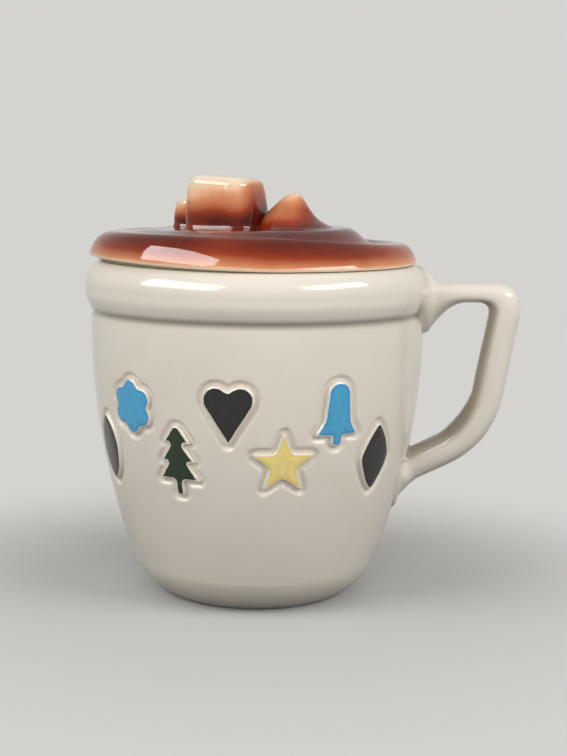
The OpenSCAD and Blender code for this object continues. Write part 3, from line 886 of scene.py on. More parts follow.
def paints():
    """Material and slot of each relief shape."""
    g = chosen("glaze")
    black = painted("black_glaze", g.black, g.black_deep, 0.35, 2.2)
    blue = painted("blue_glaze", g.blue, g.blue_deep, 0.3)
    return {
        "leaf": (painted("brown_glaze", g.brown, g.brown_deep, 0.35, 2.0), "brown_glaze"),
        "flower": (blue, "blue_glaze"), "bell": (blue, "blue_glaze"),
        "tree": (painted("green_glaze", g.green, g.green_deep, 0.3, 1.2), "green_glaze"),
        "heart": (black, "black_glaze"), "diamond": (black, "black_glaze"),
        "star": (painted("yellow_glaze", g.yellow_pale, g.yellow, 0.6), "yellow_glaze"),
    }


# ---- operators: one for each piece or group of like pieces ----


class JARMAKER_OT_wall(bpy.types.Operator):
    """Make the jar's wall, band, floor and foot, with the pockets of the relief shapes"""

    bl_idname = "jarmaker.wall"
    bl_label = "Jar wall"

    # angles round the jar and the rows of faces between them: the front, which carries the
    # shapes, the strap behind the handle, and the bare back
    stretches = ((-160, -20, 276), (-20, 20, 60), (20, 200, 84))
    # how far a pocket may reach past the rows that are close together
    pocket_room = 6

    def execute(self, context):
        form, relief = JarForm(), sizes("relief")
        outside = form.outside()
        profile = np.vstack([form.underside(outside[0][0]), outside, form.inside()])
        bm = thrown(profile, np.concatenate(
            [np.linspace(a, b, count, endpoint=False) for a, b, count in self.stretches]))
        points = places(bm)
        r, z = radii(points), points[:, 2]
        shell = (r > form.surface_at(z) - 0.05) & (z > 1)
        depth = np.zeros(len(points))
        wall = np.flatnonzero(shell & (z > form.fine_low - self.pocket_room)
                              & (z < form.fine_high + self.pocket_room))
        depth[wall] = pocket_depth(points[wall], relief)
        crease = hump(z - form.crease_z - 0.2, 1.5)
        strap = self.strap(points, sizes("handle").strap_up)
        stray = np.zeros(len(points))
        stray[shell] = form.s.wobble * (ripple(points[shell], 38, 2) - 1) / 2
        moved = np.where(shell, strap + stray - depth - form.s.crease_cut * crease, 0)
        points[:, :2] *= (1 + moved / np.maximum(r, 1))[:, None]
        points[:, 2] += form.s.rim_rise * warp_at(degrees_at(points)) \
            * np.clip((z - form.crease_z) / form.s.band_h, 0, 1)
        put(bm, points)
        # painted shade with some pooled glaze in the pockets, painted shade inside, bare foot
        # ring, painted shade with grime in the crease
        inner_shade = 0.15 * ((r < form.surface_at(z) - 4) & (z > 7))
        pool = np.where(shell, depth / relief.pocket * 0.2, inner_shade)
        bare = ((z < 0.8) & (r > form.hub[0])).astype(float)
        seam = np.where(shell, hump(z - form.crease_z - 0.6, 2.2), 0)
        finished(bm, "wall", "jar", ["jar_body"], "cream_glaze",
                 ready("dipped_cream", cream_glaze), pool=pool, bare=bare, seam=seam)
        return {"FINISHED"}

    @staticmethod
    def strap(points, height):
        """How far the wall between the handle's roots stands out at each point."""
        half_w, side_fall, low, low_rise, high, high_fall = 10.5, 4, 50, 12, 153, 4
        x, y, z = points.T
        return height * (1 - smooth((np.abs(y) - half_w) / side_fall)) \
            * smooth((z - low) / low_rise) * (1 - smooth((z - high) / high_fall)) * (x > 0)


class JARMAKER_OT_reliefs(bpy.types.Operator):
    """Make the seven painted relief shapes, each seated in its pocket"""

    bl_idname = "jarmaker.reliefs"
    bl_label = "Relief shapes"

    def execute(self, context):
        form, s, finish = JarForm(), sizes("relief"), paints()
        for index, kind in enumerate(RELIEFS):
            outline = soft_outline(kind, s)
            bm = self.raised(outline, s)
            flat = places(bm)
            inset = -edge_distance(flat[:, :2], outline)
            inset[inset < 0.02] = 0
            face = flat[:, 2] > s.proud - 0.01
            # the face is a little fuller in its middle, and not quite even
            swell = 0.3 * smooth(inset / 5) + 0.1 * ripple(flat, 9, index)
            put(bm, self.on_wall(flat + np.outer(face * swell, [0, 0, 1]), form, index, s))
            bmesh.ops.recalc_face_normals(bm, faces=bm.faces)
            material, slot = finish[kind]
            # painted shade, with some pooled glaze, darkens the lowest part of the shape's round
            # edge
            finished(bm, f"{kind}_shape", "jar", [f"relief_{kind}"], slot, material,
                     inset=inset, pool=np.clip(0.35 - inset * 0.35, 0, 1))
        return {"FINISHED"}

    @staticmethod
    def inward(ring):
        """Direction into the shape at each point of its outline."""
        along = np.roll(ring, -1, 0) - np.roll(ring, 1, 0)
        return np.column_stack([-along[:, 1], along[:, 0]]) / np.hypot(*along.T)[:, None]

    @classmethod
    def room(cls, outline, reach):
        """Share of an inset of reach that fits at each point, less in narrow tips."""
        spread, least, far = 4, 0.01, 99
        away = outline[None] - outline[:, None]
        depth = np.maximum((away * cls.inward(outline)[:, None]).sum(2), least)
        # radius of the circle inside the outline that touches it here and at each other point
        fits = ((away ** 2).sum(2) / (2 * depth) + (depth <= least) * far).min(1)
        share_in = np.minimum(1, 0.7 * fits / reach)
        low = np.min([np.roll(share_in, k) for k in range(-spread, spread + 1)], axis=0)
        for _ in range(spread * 2):
            low = (np.roll(low, 1) + 2 * low + np.roll(low, -1)) / 4
        return low

    @classmethod
    def raised(cls, outline, s):
        """A shape on a flat plane, x across, y up and z out of the wall, with a round edge."""
        seated = 0.15
        bm = bmesh.new()
        base = [bm.verts.new((x, y, -s.pocket - seated)) for x, y in outline]
        top = bm.faces.new(base)
        ring, before = outline, 0.0
        share_in = cls.room(ring, s.edge_round)
        for lift in np.radians([0, 12, 24, 36, 48, 60, 72, 82, 90]):
            inset = s.edge_round * (1 - math.cos(lift))
            order = {(round(v.co.x, 4), round(v.co.y, 4)): k for k, v in enumerate(base)}
            top = bmesh.ops.extrude_discrete_faces(bm, faces=[top])["faces"][0]
            fresh = sorted(top.verts, key=lambda v: order[round(v.co.x, 4), round(v.co.y, 4)])
            ring = ring + cls.inward(ring) * ((inset - before) * share_in)[:, None]
            ring = (np.roll(ring, 1, 0) + 10 * ring + np.roll(ring, -1, 0)) / 12
            for vertex, (x, y) in zip(fresh, ring):
                vertex.co = (x, y, -s.pocket + (s.pocket + s.proud) * math.sin(lift))
            base, before = fresh, inset
        bmesh.ops.triangulate(bm, faces=[top], ngon_method="BEAUTY")
        cls.refined(bm, set(base), s.proud - 0.001)
        bmesh.ops.holes_fill(bm, edges=[e for e in bm.edges if e.is_boundary])
        return bm

    @staticmethod
    def refined(bm, rim, level):
        """Gives the face above level even triangles; its rim is cut only where it is long."""
        inner_length, rim_length, rounds = 1.5, 1.6, 6

        def above(part):
            return min(v.co.z for v in part.verts) > level

        for _ in range(rounds):
            long = [e for e in bm.edges if above(e) and e.calc_length() > (
                rim_length if rim.issuperset(e.verts) else inner_length)]
            if not long:
                break
            bmesh.ops.subdivide_edges(bm, edges=long, cuts=1)
            bmesh.ops.triangulate(bm, faces=[f for f in bm.faces if above(f) and len(f.verts) > 3])
            inner = [e for e in bm.edges
                     if len(e.link_faces) == 2 and all(map(above, e.link_faces))]
            bmesh.ops.beautify_fill(bm, faces=[f for f in bm.faces if above(f)], edges=inner)

    @staticmethod
    def on_wall(flat, form, index, s):
        """Carries flat points onto the wall's curve at a shape's place."""
        turned, middle = relief_place(index, s)
        z = flat[:, 1] + middle
        r = form.wall_at(z) + flat[:, 2] - form.s.wobble / 2
        x, y = flat[:, 0], -np.sqrt(r ** 2 - flat[:, 0] ** 2)
        c, d = math.cos(turned), math.sin(turned)
        return np.column_stack([x * c - y * d, x * d + y * c, z])


class JARMAKER_OT_handle(bpy.types.Operator):
    """Make the ear handle with its flared roots"""

    bl_idname = "jarmaker.handle"
    bl_label = "Handle"

    sides = 48
    # how far the middle line runs into the band and into the wall, and the greatest depth
    # at which a point of the roots is left
    upper_in, lower_in, root_deep = 8.5, 8, 3
    # roundness of the section: 2 is an oval, more is squarer; the roots are rounder by the second
    section_power, root_rounder = 2.45, 0.4
    # width of the rise at the upper root, as a share of the web's
    rise_share = 0.8

    def execute(self, context):
        self.form, self.s = JarForm(), sizes("handle")
        line, turned, on_arm = self.middle_line()
        rings, inner = self.rings(line, turned, on_arm)
        bm = lofted(rings)
        points = places(bm)
        # the roots end inside the wall
        least = self.form.surface_at(points[:, 2]) - self.root_deep
        points[:, :2] *= np.maximum(least / radii(points), 1)[:, None]
        put(bm, points)
        # soft clay where the roots meet the jar
        gap = radii(points) - self.form.surface_at(points[:, 2])
        normal = np.array([v.normal[:] for v in bm.verts])
        near = np.clip(1 - gap / self.s.fillet, 0, 1)
        points += normal * (self.s.fillet * 0.6 * near ** 2.5)[:, None]
        points += normal * (0.22 * ripple(points, 17, 5) - 0.1)[:, None]
        put(bm, points)
        # painted shade, with some grime and pooled glaze, along the inner side, and painted shade
        # where the roots meet the jar
        seam = np.clip(0.3 * near ** 2 + 0.95 * smooth(1.2 * inner - 0.2), 0, 1)
        finished(bm, "ear_handle", "jar", ["handle"], "cream_glaze",
                 ready("dipped_cream", cream_glaze), pool=np.clip(inner, 0, 1),
                 bare=np.zeros(len(inner)), seam=seam)
        return {"FINISHED"}

    def middle_line(self):
        """Points [x, z] of the handle's middle line.

        With them come the share of the lower bend that lies behind each, and whether it is on
        the upper arm's side.
        """
        s, form = self.s, self.form
        lean, rise = math.tan(math.radians(s.bar_lean)), math.tan(math.radians(s.lower_rise))
        arm_z = form.s.rim_z - s.arm_drop
        past_bend = 1 - math.tan(math.radians(45 + s.bar_lean / 2))
        arm_x = s.reach - s.bar_t / 2 - s.upper_bend * past_bend
        self.arm_x, self.lower_x = arm_x, float(form.wall_at(s.lower_z))
        knee_x = arm_x - lean * (arm_z - s.lower_z) - lean * rise * self.lower_x
        knee_x /= 1 - lean * rise
        start, elbow = np.array([form.band_r - self.upper_in, arm_z]), np.array([arm_x, arm_z])
        knee = np.array([knee_x, s.lower_z + (knee_x - self.lower_x) * rise])
        end = np.array([self.lower_x, s.lower_z]) - self.lower_in * np.array([1, rise])
        upper = self.bend(elbow, start, knee, s.upper_bend, 17)
        lower = self.bend(knee, elbow, end, s.lower_bend, 30)
        arm = self.leg(start, upper[0], 34)
        bar = self.leg(upper[-1], lower[0], 20)
        last = self.leg(lower[-1], end, 34)
        line = np.vstack([arm[:-1], upper, bar[1:-1], lower, last[1:]])
        on_arm = np.arange(len(line)) < len(arm) + len(upper) + len(bar) // 2
        first = len(arm) - 1 + len(upper) + len(bar) - 2
        turned = np.clip((np.arange(len(line)) - first) / (len(lower) - 1), 0, 1)
        return line, turned, on_arm

    @staticmethod
    def leg(a, b, count):
        """Even points from a to b."""
        t = np.linspace(0, 1, count)[:, None]
        return a + (b - a) * t

    @staticmethod
    def bend(p, a, b, r, count):
        """Round corner of radius r at p, on the way from a to b."""
        u, v = unit(a - p), unit(b - p)
        half = math.acos(u @ v) / 2
        c = p + unit(u + v) * r / math.sin(half)
        s, e = p + u * r / math.tan(half) - c, p + v * r / math.tan(half) - c
        start, end = math.atan2(s[1], s[0]), math.atan2(e[1], e[0])
        sweep = (end - start + math.pi) % (2 * math.pi) - math.pi
        return arc(c, r, math.degrees(start), math.degrees(start + sweep), count)

    def corner_pull(self, p):
        """Move that takes a point of the inner contour onto the round of the inner corner."""
        s, lean = self.s, math.radians(self.s.bar_lean)
        low = -s.arm_under - s.inner_bend
        centre = np.array([self.arm_x - (s.bar_t / 2 + s.inner_bend - math.sin(lean) * low)
                           / math.cos(lean), self.form.s.rim_z - s.arm_drop + low])
        off = p - centre
        if off[1] <= 0 or off @ [math.cos(lean), -math.sin(lean)] <= 0:
            return np.zeros(2)
        return -unit(off) * max(np.linalg.norm(off) - s.inner_bend, 0)

    def rings(self, line, turned, on_arm):
        """Sections along the line, and the painted shade, with some pooled glaze, at each of their
        points.
        """
        s, form = self.s, self.form
        ahead = np.gradient(line, axis=0)
        ahead /= np.linalg.norm(ahead, axis=1)[:, None]
        rings, inner = [], []
        for p, d, share_turned, arm in zip(line, ahead, turned, on_arm):
            up = p[0] - form.band_r
            down = (p[0] - self.lower_x) / math.cos(math.radians(s.lower_rise))
            web = (1 - np.clip(up / s.web_reach, 0, 1)) ** 2 if arm else 0
            foot = 0 if arm else (1 - min(down / s.foot_reach, 1)) ** 2
            bent = math.atan2(-d[1], d[0]) / math.radians(90 + s.bar_lean)
            round_bend = min(bent, 1) if arm else 1
            t_out = s.arm_over + (s.bar_t / 2 - s.arm_over) * round_bend \
                + s.corner_fill * hump(round_bend - 0.5, 0.25)
            t_in = s.arm_under + (s.bar_t / 2 - s.arm_under) * round_bend
            pull = self.corner_pull(p + np.array([d[1], -d[0]]) * t_in)
            lift = smooth((s.root_reach - up) / (s.root_reach + s.root_in)) if arm else 0
            t_in += s.pad_sag * web + s.foot_rise * min(foot, 1) \
                + 4 * s.knee_fill * share_turned * (1 - share_turned)
            flat = np.clip((up + s.pad_in) / (s.pad_in + s.pad_reach), 0, 1)
            boss = (1 + math.cos(math.pi * flat)) / 2 if arm else 0
            half_w = s.grip_w / 2 + (s.pad_w - s.grip_w) / 2 * boss \
                + (s.foot_w - s.grip_w) / 2 * min(foot, 1)
            across, out = squircle(
                round_steps(self.sides), self.section_power - self.root_rounder * max(web, boss))
            y = across * half_w
            # the rise above the arm and the web under it are narrower than the boss
            rise = s.root_lift * lift * hump(y, s.spine_w * self.rise_share)
            fall = (s.web_drop - s.pad_sag) * web * hump(y, s.spine_w)
            v = out * np.where(out > 0, t_out, t_in) + np.where(out > 0, rise, fall) * np.sign(out)
            sag, below = s.foot_drop * foot * np.maximum(out, 0), np.maximum(-out, 0)
            rings.append(np.column_stack([
                p[0] - d[1] * v - 0.25 * sag + pull[0] * below, y,
                p[1] + d[0] * v - sag + pull[1] * below]))
            inner_pool_and_shade = self.inner_pool_and_shade(up, form.s.rim_z - s.arm_drop - p[1], share_turned)
            inner.append(smooth(-1.3 * out) * inner_pool_and_shade)
        return rings, np.concatenate(inner)

    @staticmethod
    def inner_pool_and_shade(along, down, share_turned):
        """Painted shade, with some pooled glaze, on the inner side: most round the corner and in
        the bend.
        """
        corner_from, corner_fade, down_fade = 36, 10, 25
        corner = 0.1 + 0.9 * hump(max(corner_from - along - down, 0), corner_fade)
        return corner * (0.75 + 0.25 * hump(down, down_fade)) \
            + 0.35 * hump(share_turned - 0.55, 0.4) * smooth(share_turned * 5)


def lid_body(rings, name, node, slot, spray):
    """A sprayed piece of the lid."""
    return finished(lofted(rings), name, "lid", [node], slot,
                    ready("sprayed_cocoa", cocoa_glaze), spray=spray)


class JARMAKER_OT_lid(bpy.types.Operator):
    """Make the lid: a puddle of cocoa with a raised middle, a swirled ridge and a round lip"""

    bl_idname = "jarmaker.lid"
    bl_label = "Lid"

    sides = 224
    # places round the lid, as an angle from the handle and a width, both in degrees:
    # the lip's dip, its long slopes, where it is fuller and where it is leaner
    dip, slope_front, slope_side = (50, 30), (308, 48), (235, 40)
    fuller, leaner = (0, 24), (180, 28)
    # the swirled ridge, the stretch where the trough is flat, and where the spray is thin
    ridge_front, flat_trough = (272, 40), (190, 48)
    pale_ridge, pale_handle = (258, 16), (352, 26)
    pale_lip = ((0.3, 348, 24), (0.15, 200, 20), (0.13, 267, 8))
    # share of the lip's height, and the spray there: none at its lower edge
    spray = ([0, 0.05, 0.1, 0.2, 0.3, 0.4, 0.5, 0.6, 0.7, 0.85, 1],
             [0, 0.06, 0.28, 0.42, 0.53, 0.64, 0.74, 0.83, 0.89, 0.94, 0.97])

    def execute(self, context):
        self.form, self.s = JarForm(), sizes("lid")
        self.a = round_steps(self.sides)
        rows = self.top_rows() + self.lip_rows() + self.under_rows()
        rings = [np.column_stack([r * np.cos(self.a), r * np.sin(self.a), z]) for r, z, _ in rows]
        spray = np.concatenate([np.broadcast_to(k, self.sides) for _, _, k in rows])
        lid_body(rings, "cocoa_lid", "lid_shell", "cocoa_glaze", spray)
        return {"FINISHED"}

    def bump(self, degrees, width):
        """1 at an angle round the lid, and 0 away from it."""
        off = (np.degrees(self.a) - degrees + 180) % 360 - 180
        return hump(off, width)

    def edge(self):
        """Radius of the lip's outer edge."""
        s = self.s
        return self.form.band_r - s.lid_in - s.shift * np.cos(self.a) \
            + 0.4 * np.cos(3 * self.a + math.radians(40))

    def low(self):
        """Height at which the lip's lower edge ends, over the gap to the rim."""
        return self.form.s.rim_z + self.s.seat_gap + self.s.lip_lift * warp_at(np.degrees(self.a))

    def crest(self):
        """Height of the lip's top."""
        s = self.s
        return self.form.s.rim_z + s.lip_h - s.lip_slope * np.cos(self.a) \
            + s.lip_front * np.maximum(-np.sin(self.a), 0) ** 1.5 \
            - s.back_dip * self.bump(*self.dip)

    def shoulder(self):
        """Width of the lip's round shoulder."""
        return self.s.shoulder_w - self.s.shoulder_more * np.cos(self.a)

    def fullness(self):
        """Share of the lip's inset that is a straight slope, and how full the rest is."""
        front = self.bump(*self.slope_front)
        slope = 0.2 + 0.32 * front + 0.12 * self.bump(*self.slope_side)
        full = 3 - 1.5 * front + 0.3 * self.bump(*self.fuller) - 0.7 * self.bump(*self.leaner)
        return slope, full

    def drop(self):
        """Height of the lip's round lower edge."""
        return self.s.edge_drop - self.s.edge_less * np.cos(self.a)

    def middle(self):
        """Radius of the raised middle."""
        s = self.s
        return s.middle_r + s.middle_shift * np.cos(self.a - math.radians(145))

    def top_rows(self):
        """Rows of (radius, height, spray) from the middle to the crest of the lip."""
        s, middle, crest = self.s, self.middle(), self.crest()
        end = self.edge() - self.shoulder()
        rows = [(middle * t, self.flat(middle * t), 0.95)
                for t in (0.02, 0.2, 0.4, 0.6, 0.8, 0.92)]
        trough, deepest = s.trough * (1 - 0.9 * self.bump(*self.flat_trough)), 0.62
        # one thin swirled ridge in front, with a dark hollow behind it
        front = self.bump(*self.ridge_front)
        ridge_at = end - 1.5 - 5 * smooth((250 - np.degrees(self.a)) / 40)
        for t in np.linspace(0, 1, 26):
            r = middle + (end - middle) * t
            flat, past = self.flat(r), r - ridge_at
            rise = np.where(
                t < deepest, flat + (crest - trough - flat) * smooth(t / deepest),
                crest - trough * (1 - smooth((t - deepest) / (1 - deepest))))
            lifted = s.ridge * front * (hump(past, 1.6) - 0.9 * hump(past + 5, 3.4))
            # paler spray on the ridge's top: thinner glaze and a painted highlight
            bare = 0.3 * hump(past, 1.3) * front \
                + 0.25 * hump(t - 0.1, 0.25) * self.bump(*self.pale_ridge) \
                + 0.3 * t * self.bump(*self.pale_handle)
            rows.append((r, rise + lifted, 0.97 - bare))
        return rows

    def flat(self, r):
        """Height of the raised middle, which falls a little away from the handle."""
        fall = smooth((-r * np.cos(self.a) - 22) / 26)
        return self.s.middle_z - HAIR - self.s.middle_fall * fall

    def lip_rows(self):
        """Rows over the lip's round shoulder and its lower edge."""
        s, edge, low, crest = self.s, self.edge(), self.low(), self.crest()
        shoulder, drop = self.shoulder(), self.drop()
        slope, full = self.fullness()
        thin = 1 - sum(share_off * self.bump(*place) for share_off, *place in self.pale_lip)
        rows = []
        for b in np.radians(np.linspace(0, 90, 23)[1:]):
            tall, wide = math.cos(b) ** (2 / full), math.sin(b) ** (2 / full)
            rows.append((edge - shoulder * (slope * tall + (1 - slope) * (1 - wide)),
                         low + drop + (crest - low - drop) * tall))
        for b in np.radians(np.linspace(0, 90, 8)[1:]):
            rows.append((edge - s.edge_in * (1 - math.cos(b)), low + drop * (1 - math.sin(b))))
        return [(r, z, np.interp((z - low) / (crest - low), *self.spray) * thin) for r, z in rows]

    def under_rows(self):
        """Rows under the lid: its seat, which follows the warped rim, and the hollow."""
        s, rim, mouth = self.s, self.form.s.rim_z, self.form.mouth_r
        inner, seat = mouth - s.collar_gap - s.collar_t, rim + HAIR
        flat = np.ones(self.sides)
        warp = self.form.s.rim_rise * warp_at(np.degrees(self.a))
        rows = [(flat * r, z + warp, 0.0) for r, z in (
            (mouth + 3, seat), (mouth, seat), (inner, seat), (inner - 0.3, rim + 0.4),
            (inner - 1, rim + 1))]
        for t in np.radians([6, 14, 24, 36, 50, 64, 78, 88]):
            rows.append((flat * (inner - 1) * math.cos(t),
                         rim + 1 + (s.hollow_h - 1) * math.sin(t) + warp * math.cos(t), 0.0))
        return rows


class JARMAKER_OT_collar(bpy.types.Operator):
    """Make the collar that holds the lid in the mouth"""

    bl_idname = "jarmaker.collar"
    bl_label = "Lid collar"

    def execute(self, context):
        form, s = JarForm(), sizes("lid")
        outer_round, inner_round, uneven = 1.6, 1.2, 0.0012
        out, top = form.mouth_r - s.collar_gap, form.s.rim_z - HAIR
        inner, low = out - s.collar_t, top - s.collar_h + HAIR
        profile = np.vstack([
            [[out, top]],
            arc((out - outer_round, low + outer_round), outer_round, 0, -90, 6),
            arc((inner + inner_round, low + inner_round), inner_round, -90, -180, 5),
            [[inner, top]]])
        bm = spun(profile, 160)
        points = places(bm)
        points[:, :2] *= (1 - uneven * (1 + ripple(points, 22, 8)) / 2)[:, None]
        points[:, 2] += form.s.rim_rise * warp_at(degrees_at(points))
        put(bm, points)
        finished(bm, "collar_ring", "lid", ["lid_collar"], "bare_rim", bare_clay())
        return {"FINISHED"}


def knob_place(s):
    """Where the middle of the knob stands on the lid."""
    return np.array([-s.knob_x, -s.knob_x / 11])


def soft_block(w, h, power, drop, lean, round_r, turned, at):
    """Rings of a marshmallow: a rounded square with a soft foot and a round top edge.

    Returns the rings and, for each point, its share of the height and of a corner's reach.
    """
    sides, deep = 72, 2
    # shares of the half width: how far the foot flares and spreads, the flank's bulge, the top
    flare, spread, bulge, top_w = 0.1, 0.07, 0.012, 0.98
    # shares of the height: the foot, and the dome on top
    foot_h, dome = 0.085, 0.02
    shrink, top = round_r / (w / 2), round_r / h
    edge = top_w - shrink
    flank = [(1 + spread + flare * (1 - t) ** 2.2, foot_h * t - deep / h * (1 - t))
             for t in np.linspace(0, 1, 8)]
    flank += [(1 + spread * (1 - smooth(t)) + bulge * math.sin(math.pi * t),
               foot_h + (1 - top - foot_h - dome) * t) for t in np.linspace(0, 1, 14)[1:-1]]
    flank += [(edge + shrink * math.cos(b), 1 - top * (1 - math.sin(b)) - dome)
              for b in np.radians(np.linspace(0, 80, 10))]
    flank += [(edge * (1 - t) + 0.01, 1 - dome * (1 - t) ** 2) for t in np.linspace(0, 1, 9)]
    x, y = squircle(round_steps(sides), power)
    corner = (np.hypot(x, y) - 1) / 0.2
    c, d = math.cos(math.radians(turned)), math.sin(math.radians(turned))
    rings, tall, corners = [], [], []
    for f, share_up in flank:
        px, py = f * w / 2 * x, f * w / 2 * y
        z = share_up * (h - drop * (px / w + 0.5))
        rings.append(np.column_stack([at[0] - lean * share_up + px * c - py * d,
                                      at[1] + px * d + py * c, at[2] + z]))
        tall.append(np.full(sides, share_up))
        corners.append(np.clip(corner, 0, 1))
    return rings, np.concatenate(tall), np.concatenate(corners)


class JARMAKER_OT_marshmallows(bpy.types.Operator):
    """Make the knob and the small marshmallow behind it"""

    bl_idname = "jarmaker.marshmallows"
    bl_label = "Marshmallows"

    # share of the height, and the spray there: dark at the foot, bare on top
    spray = ([0, 0.09, 0.17, 0.25, 0.32, 0.4, 0.47, 0.55, 0.62, 0.7, 0.77, 0.85, 0.92, 0.98],
             [0.92, 1, 0.97, 0.84, 0.69, 0.56, 0.45, 0.36, 0.31, 0.26, 0.19, 0.12, 0.06, 0.01])

    def execute(self, context):
        s = sizes("sweets")
        knob = np.append(knob_place(s), sizes("lid").middle_z)
        small = knob + [-s.small_x, s.small_y, 0]
        # piece, node, place, form as in soft_block, seed of the dents, and extra spray
        for name, node, place, form, seed, extra in (
                ("knob_marshmallow", "marshmallow_knob", knob,
                 (s.knob_w, s.knob_h, 3.6, s.knob_drop, s.knob_lean, s.knob_round, s.knob_turn),
                 16, 0),
                ("little_marshmallow", "small_marshmallow", small,
                 (s.small_w, s.small_h, 2.5, -1, 0, s.small_round, -10), 18, 0.02)):
            rings, tall, corner = soft_block(*form, place)
            points = np.concatenate(rings)
            dents = 0.25 * ripple(points, 12, seed) * smooth(tall * 6)
            away = unit_rows((points - place) * [1, 1, 0])
            rings = list((points + away * dents[:, None]).reshape(len(rings), -1, 3))
            # painted shade on the side towards the handle, a little painted light on the other
            side = away[:, 0]
            spray = extra + np.interp(tall, *self.spray) - 0.06 * corner \
                + (0.34 * smooth(2 * side - 0.7) - 0.09 * smooth(-side)) * smooth((1 - tall) * 5)
            lid_body(rings, name, node, "toasted_glaze", np.clip(spray, 0, 1))
        return {"FINISHED"}


class JARMAKER_OT_peak(bpy.types.Operator):
    """Make the peak of cream beside the knob"""

    bl_idname = "jarmaker.peak"
    bl_label = "Cream peak"

    # how far the skirt ends under the lid's top
    sides, sunk = 96, 0.35
    # share of the height, and the spray there: dark at the foot, pale on top
    spray = ([0, 0.02, 0.15, 0.27, 0.39, 0.63, 0.87, 1],
             [0.95, 0.78, 0.6, 0.46, 0.38, 0.33, 0.22, 0.1])

    def execute(self, context):
        s, top = sizes("sweets"), sizes("lid").middle_z
        knob = knob_place(s)
        tip = knob + [s.peak_x, 0]
        a = round_steps(self.sides)
        foot = s.peak_reach * (1 + 0.06 * np.cos(a) + 0.12 * np.maximum(-np.cos(a), 0)
                               - 0.05 * np.cos(2 * a + math.radians(30)))
        width = 0.34 + 0.4 * ((1 - np.cos(a)) / 2) ** 1.5
        rings, spray = [], []
        for t in np.concatenate([np.linspace(1, 0.3, 22), np.linspace(0.28, 0.012, 16)]):
            r = t * foot
            height = s.peak_h * self.bell(t, width) * smooth((1 - t) / 0.4)
            z = top - self.sunk + height * (s.peak_h + self.sunk) / s.peak_h
            rings.append(np.column_stack([tip[0] + r * np.cos(a), tip[1] + r * np.sin(a), z]))
            up = np.clip(height / s.peak_h, 0, 1)
            # darker on the side towards the handle and in front
            turned = 0.3 * np.maximum(np.cos(a), 0) + 0.14 * np.maximum(-np.sin(a), 0)
            spray.append(np.interp(up, *self.spray) + turned * smooth((0.97 - up) / 0.5))
        lid_body(self.clear_of_knob(rings, knob, s), "peak_of_cream", "cream_peak", "cocoa_glaze",
                 np.clip(np.concatenate(spray), 0, 1))
        return {"FINISHED"}

    @staticmethod
    def bell(t, width, power=2.3):
        """Height from 1 in the middle to 0 at the foot, where t is 1."""
        edge = 1 / (1 + (1 / width) ** power)
        return (1 / (1 + (t / width) ** power) - edge) / (1 - edge)

    @staticmethod
    def clear_of_knob(rings, knob, s):
        """Stops the skirt just inside the knob's side."""
        turned, inside = math.radians(s.knob_turn), 1.5
        side = np.array([math.cos(turned), math.sin(turned)])
        stop = s.knob_w / 2 - inside
        for ring in rings:
            short = np.maximum(stop - (ring[:, :2] - knob) @ side, 0)
            ring[:, :2] += side * short[:, None]
        return rings


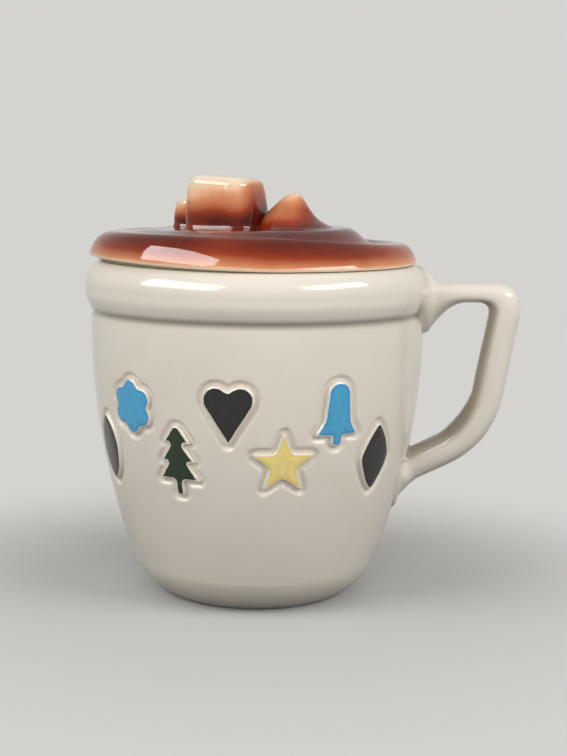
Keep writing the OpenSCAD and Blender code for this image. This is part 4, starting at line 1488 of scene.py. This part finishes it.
class JARMAKER_OT_stage(bpy.types.Operator):
    """Set up the camera, the lamps, two windows for the gloss, a pale floor and background"""

    bl_idname = "jarmaker.stage"
    bl_label = "Stage"

    # each lamp's turn from the camera and height, in degrees, distance, width and height, in
    # metres, and the setting of its power; the windows are seen by gloss alone
    lamps = (("left_lamp", -58, 31, 1.5, (0.95, 0.95), "side_power"),
             ("right_lamp", 60, 27, 1.5, (0.9, 0.8), "side_power"),
             ("front_lamp", 0, 13, 1.8, (1.4, 1.0), "front_power"))
    windows = (("left_window", -56, 37, 1.5, (1.35, 0.7)),
               ("right_window", 61, 40, 1.5, (1.1, 0.46)))

    def execute(self, context):
        s = sizes("stage")
        self.camera(context, s)
        for name, turned, elevation, distance, size, power in self.lamps:
            lamp = self.lamp(
                name, s.azimuth + turned, elevation, distance, size, getattr(s, power))
            lamp.visible_glossy = False
        for name, turned, elevation, distance, size in self.windows:
            power = s.window_light * math.pi * size[0] * size[1]
            window = self.lamp(name, s.azimuth + turned, elevation, distance, size, power)
            window.visible_diffuse = False
        context.scene.world = self.world(s)
        self.floor()
        context.scene.view_settings.view_transform = "Standard"
        return {"FINISHED"}

    @staticmethod
    def camera(context, s):
        """The camera, which looks at the jar from a little above and to one side."""
        data = bpy.data.cameras.new("camera")
        data.lens, data.sensor_width, data.shift_x = s.lens, 36, s.shift
        azimuth = math.radians(s.azimuth)
        place = Vector((math.sin(azimuth) * s.distance, -math.cos(azimuth) * s.distance, s.height))
        camera = placed("camera", data)
        camera.matrix_world = (
            Matrix.Translation(place * MM) @ Matrix.Rotation(azimuth, 4, "Z")
            @ Matrix.Rotation(math.radians(90 - s.tilt), 4, "X")
            @ Matrix.Rotation(math.radians(s.roll), 4, "Z"))
        context.scene.camera = camera

    @staticmethod
    def lamp(name, azimuth, elevation, distance, size, power):
        """A rectangular soft lamp that faces the middle of the jar; returns its object."""
        data = bpy.data.lights.new(name, "AREA")
        data.shape, data.size, data.size_y, data.energy = "RECTANGLE", *size, power
        turned, rise = math.radians(azimuth), math.radians(elevation)
        away = Vector((math.sin(turned) * math.cos(rise), -math.cos(turned) * math.cos(rise),
                       math.sin(rise)))
        middle = Vector((0, 0, 0.12))
        lamp = placed(name, data)
        lamp.matrix_world = (Matrix.Translation(middle + away * distance)
                             @ away.to_track_quat("Z", "Y").to_matrix().to_4x4())
        return lamp

    @staticmethod
    def world(s):
        """Light from all round; the camera and reflections see the paper's colour."""
        f = Finish("studio", "worlds")
        sky = f.node("ShaderNodeBackground", None,
                     {"Color": (1, 0.99, 0.97, 1), "Strength": s.sky})
        paper = f.node("ShaderNodeBackground", None, {"Color": (*chosen("stage").paper, 1)})
        mixed = f.node("ShaderNodeMixShader", None, {0: f.seen(), 1: sky, 2: paper})
        return f.end(mixed, "World")

    @staticmethod
    def floor():
        """A round pale floor that fades into the background."""
        floor_r, fade_from, fade_to = 2.6, 0.1, 0.31
        bm = bmesh.new()
        bmesh.ops.create_circle(bm, cap_ends=True, segments=96, radius=floor_r)
        mesh = bpy.data.meshes.new("floor")
        bm.to_mesh(mesh)
        bm.free()
        f, stage = Finish("paper"), chosen("stage")
        seen = f.seen()
        away = f.node("ShaderNodeVectorMath", {"operation": "LENGTH"}, {0: f.place}, "Value")
        shade = f.node("ShaderNodeBsdfDiffuse", None,
                       {"Color": f.blend(seen, stage.bounce, stage.ground)})
        clear = f.node("ShaderNodeBsdfTransparent")
        mesh.materials.append(f.end(f.node(
            "ShaderNodeMixShader", None,
            {0: away.step(fade_from, fade_to) * seen, 1: shade, 2: clear})))
        placed("floor", mesh)


class JARMAKER_PT_panel(bpy.types.Panel):
    """The sidebar panel that lists the pieces of the jar"""

    bl_idname = "JARMAKER_PT_panel"
    bl_label = "Biscuit jar"
    bl_space_type = "VIEW_3D"
    bl_region_type = "UI"
    bl_category = "Biscuit jar"

    def draw(self, context):
        for operator in OPERATORS:
            self.layout.operator(operator.bl_idname)
        settings = context.scene.biscuit_jar
        for part in ("jar", "relief", "handle", "lid", "sweets", "glaze", "stage"):
            box = self.layout.box()
            box.label(text=settings.bl_rna.properties[part].name)
            group = getattr(settings, part)
            for p in group.bl_rna.properties:
                if p.type == "FLOAT":
                    box.prop(group, p.identifier)


GROUPS = (JarSizes, ReliefSizes, HandleSizes, LidSizes, MarshmallowSizes, GlazeTones, StageSizes,
          JarSettings)
OPERATORS = (JARMAKER_OT_stage, JARMAKER_OT_wall, JARMAKER_OT_reliefs, JARMAKER_OT_handle,
             JARMAKER_OT_lid, JARMAKER_OT_collar, JARMAKER_OT_marshmallows, JARMAKER_OT_peak)


def register():
    for cls in (*GROUPS, *OPERATORS, JARMAKER_PT_panel):
        bpy.utils.register_class(cls)
    bpy.types.Scene.biscuit_jar = bpy.props.PointerProperty(type=JarSettings)


def unregister():
    del bpy.types.Scene.biscuit_jar
    for cls in reversed((*GROUPS, *OPERATORS, JARMAKER_PT_panel)):
        bpy.utils.unregister_class(cls)


def main():
    register()
    bpy.ops.jarmaker.stage()
    bpy.ops.jarmaker.wall()
    bpy.ops.jarmaker.reliefs()
    bpy.ops.jarmaker.handle()
    bpy.ops.jarmaker.lid()
    bpy.ops.jarmaker.collar()
    bpy.ops.jarmaker.marshmallows()
    bpy.ops.jarmaker.peak()


if __name__ == "__main__":
    main()
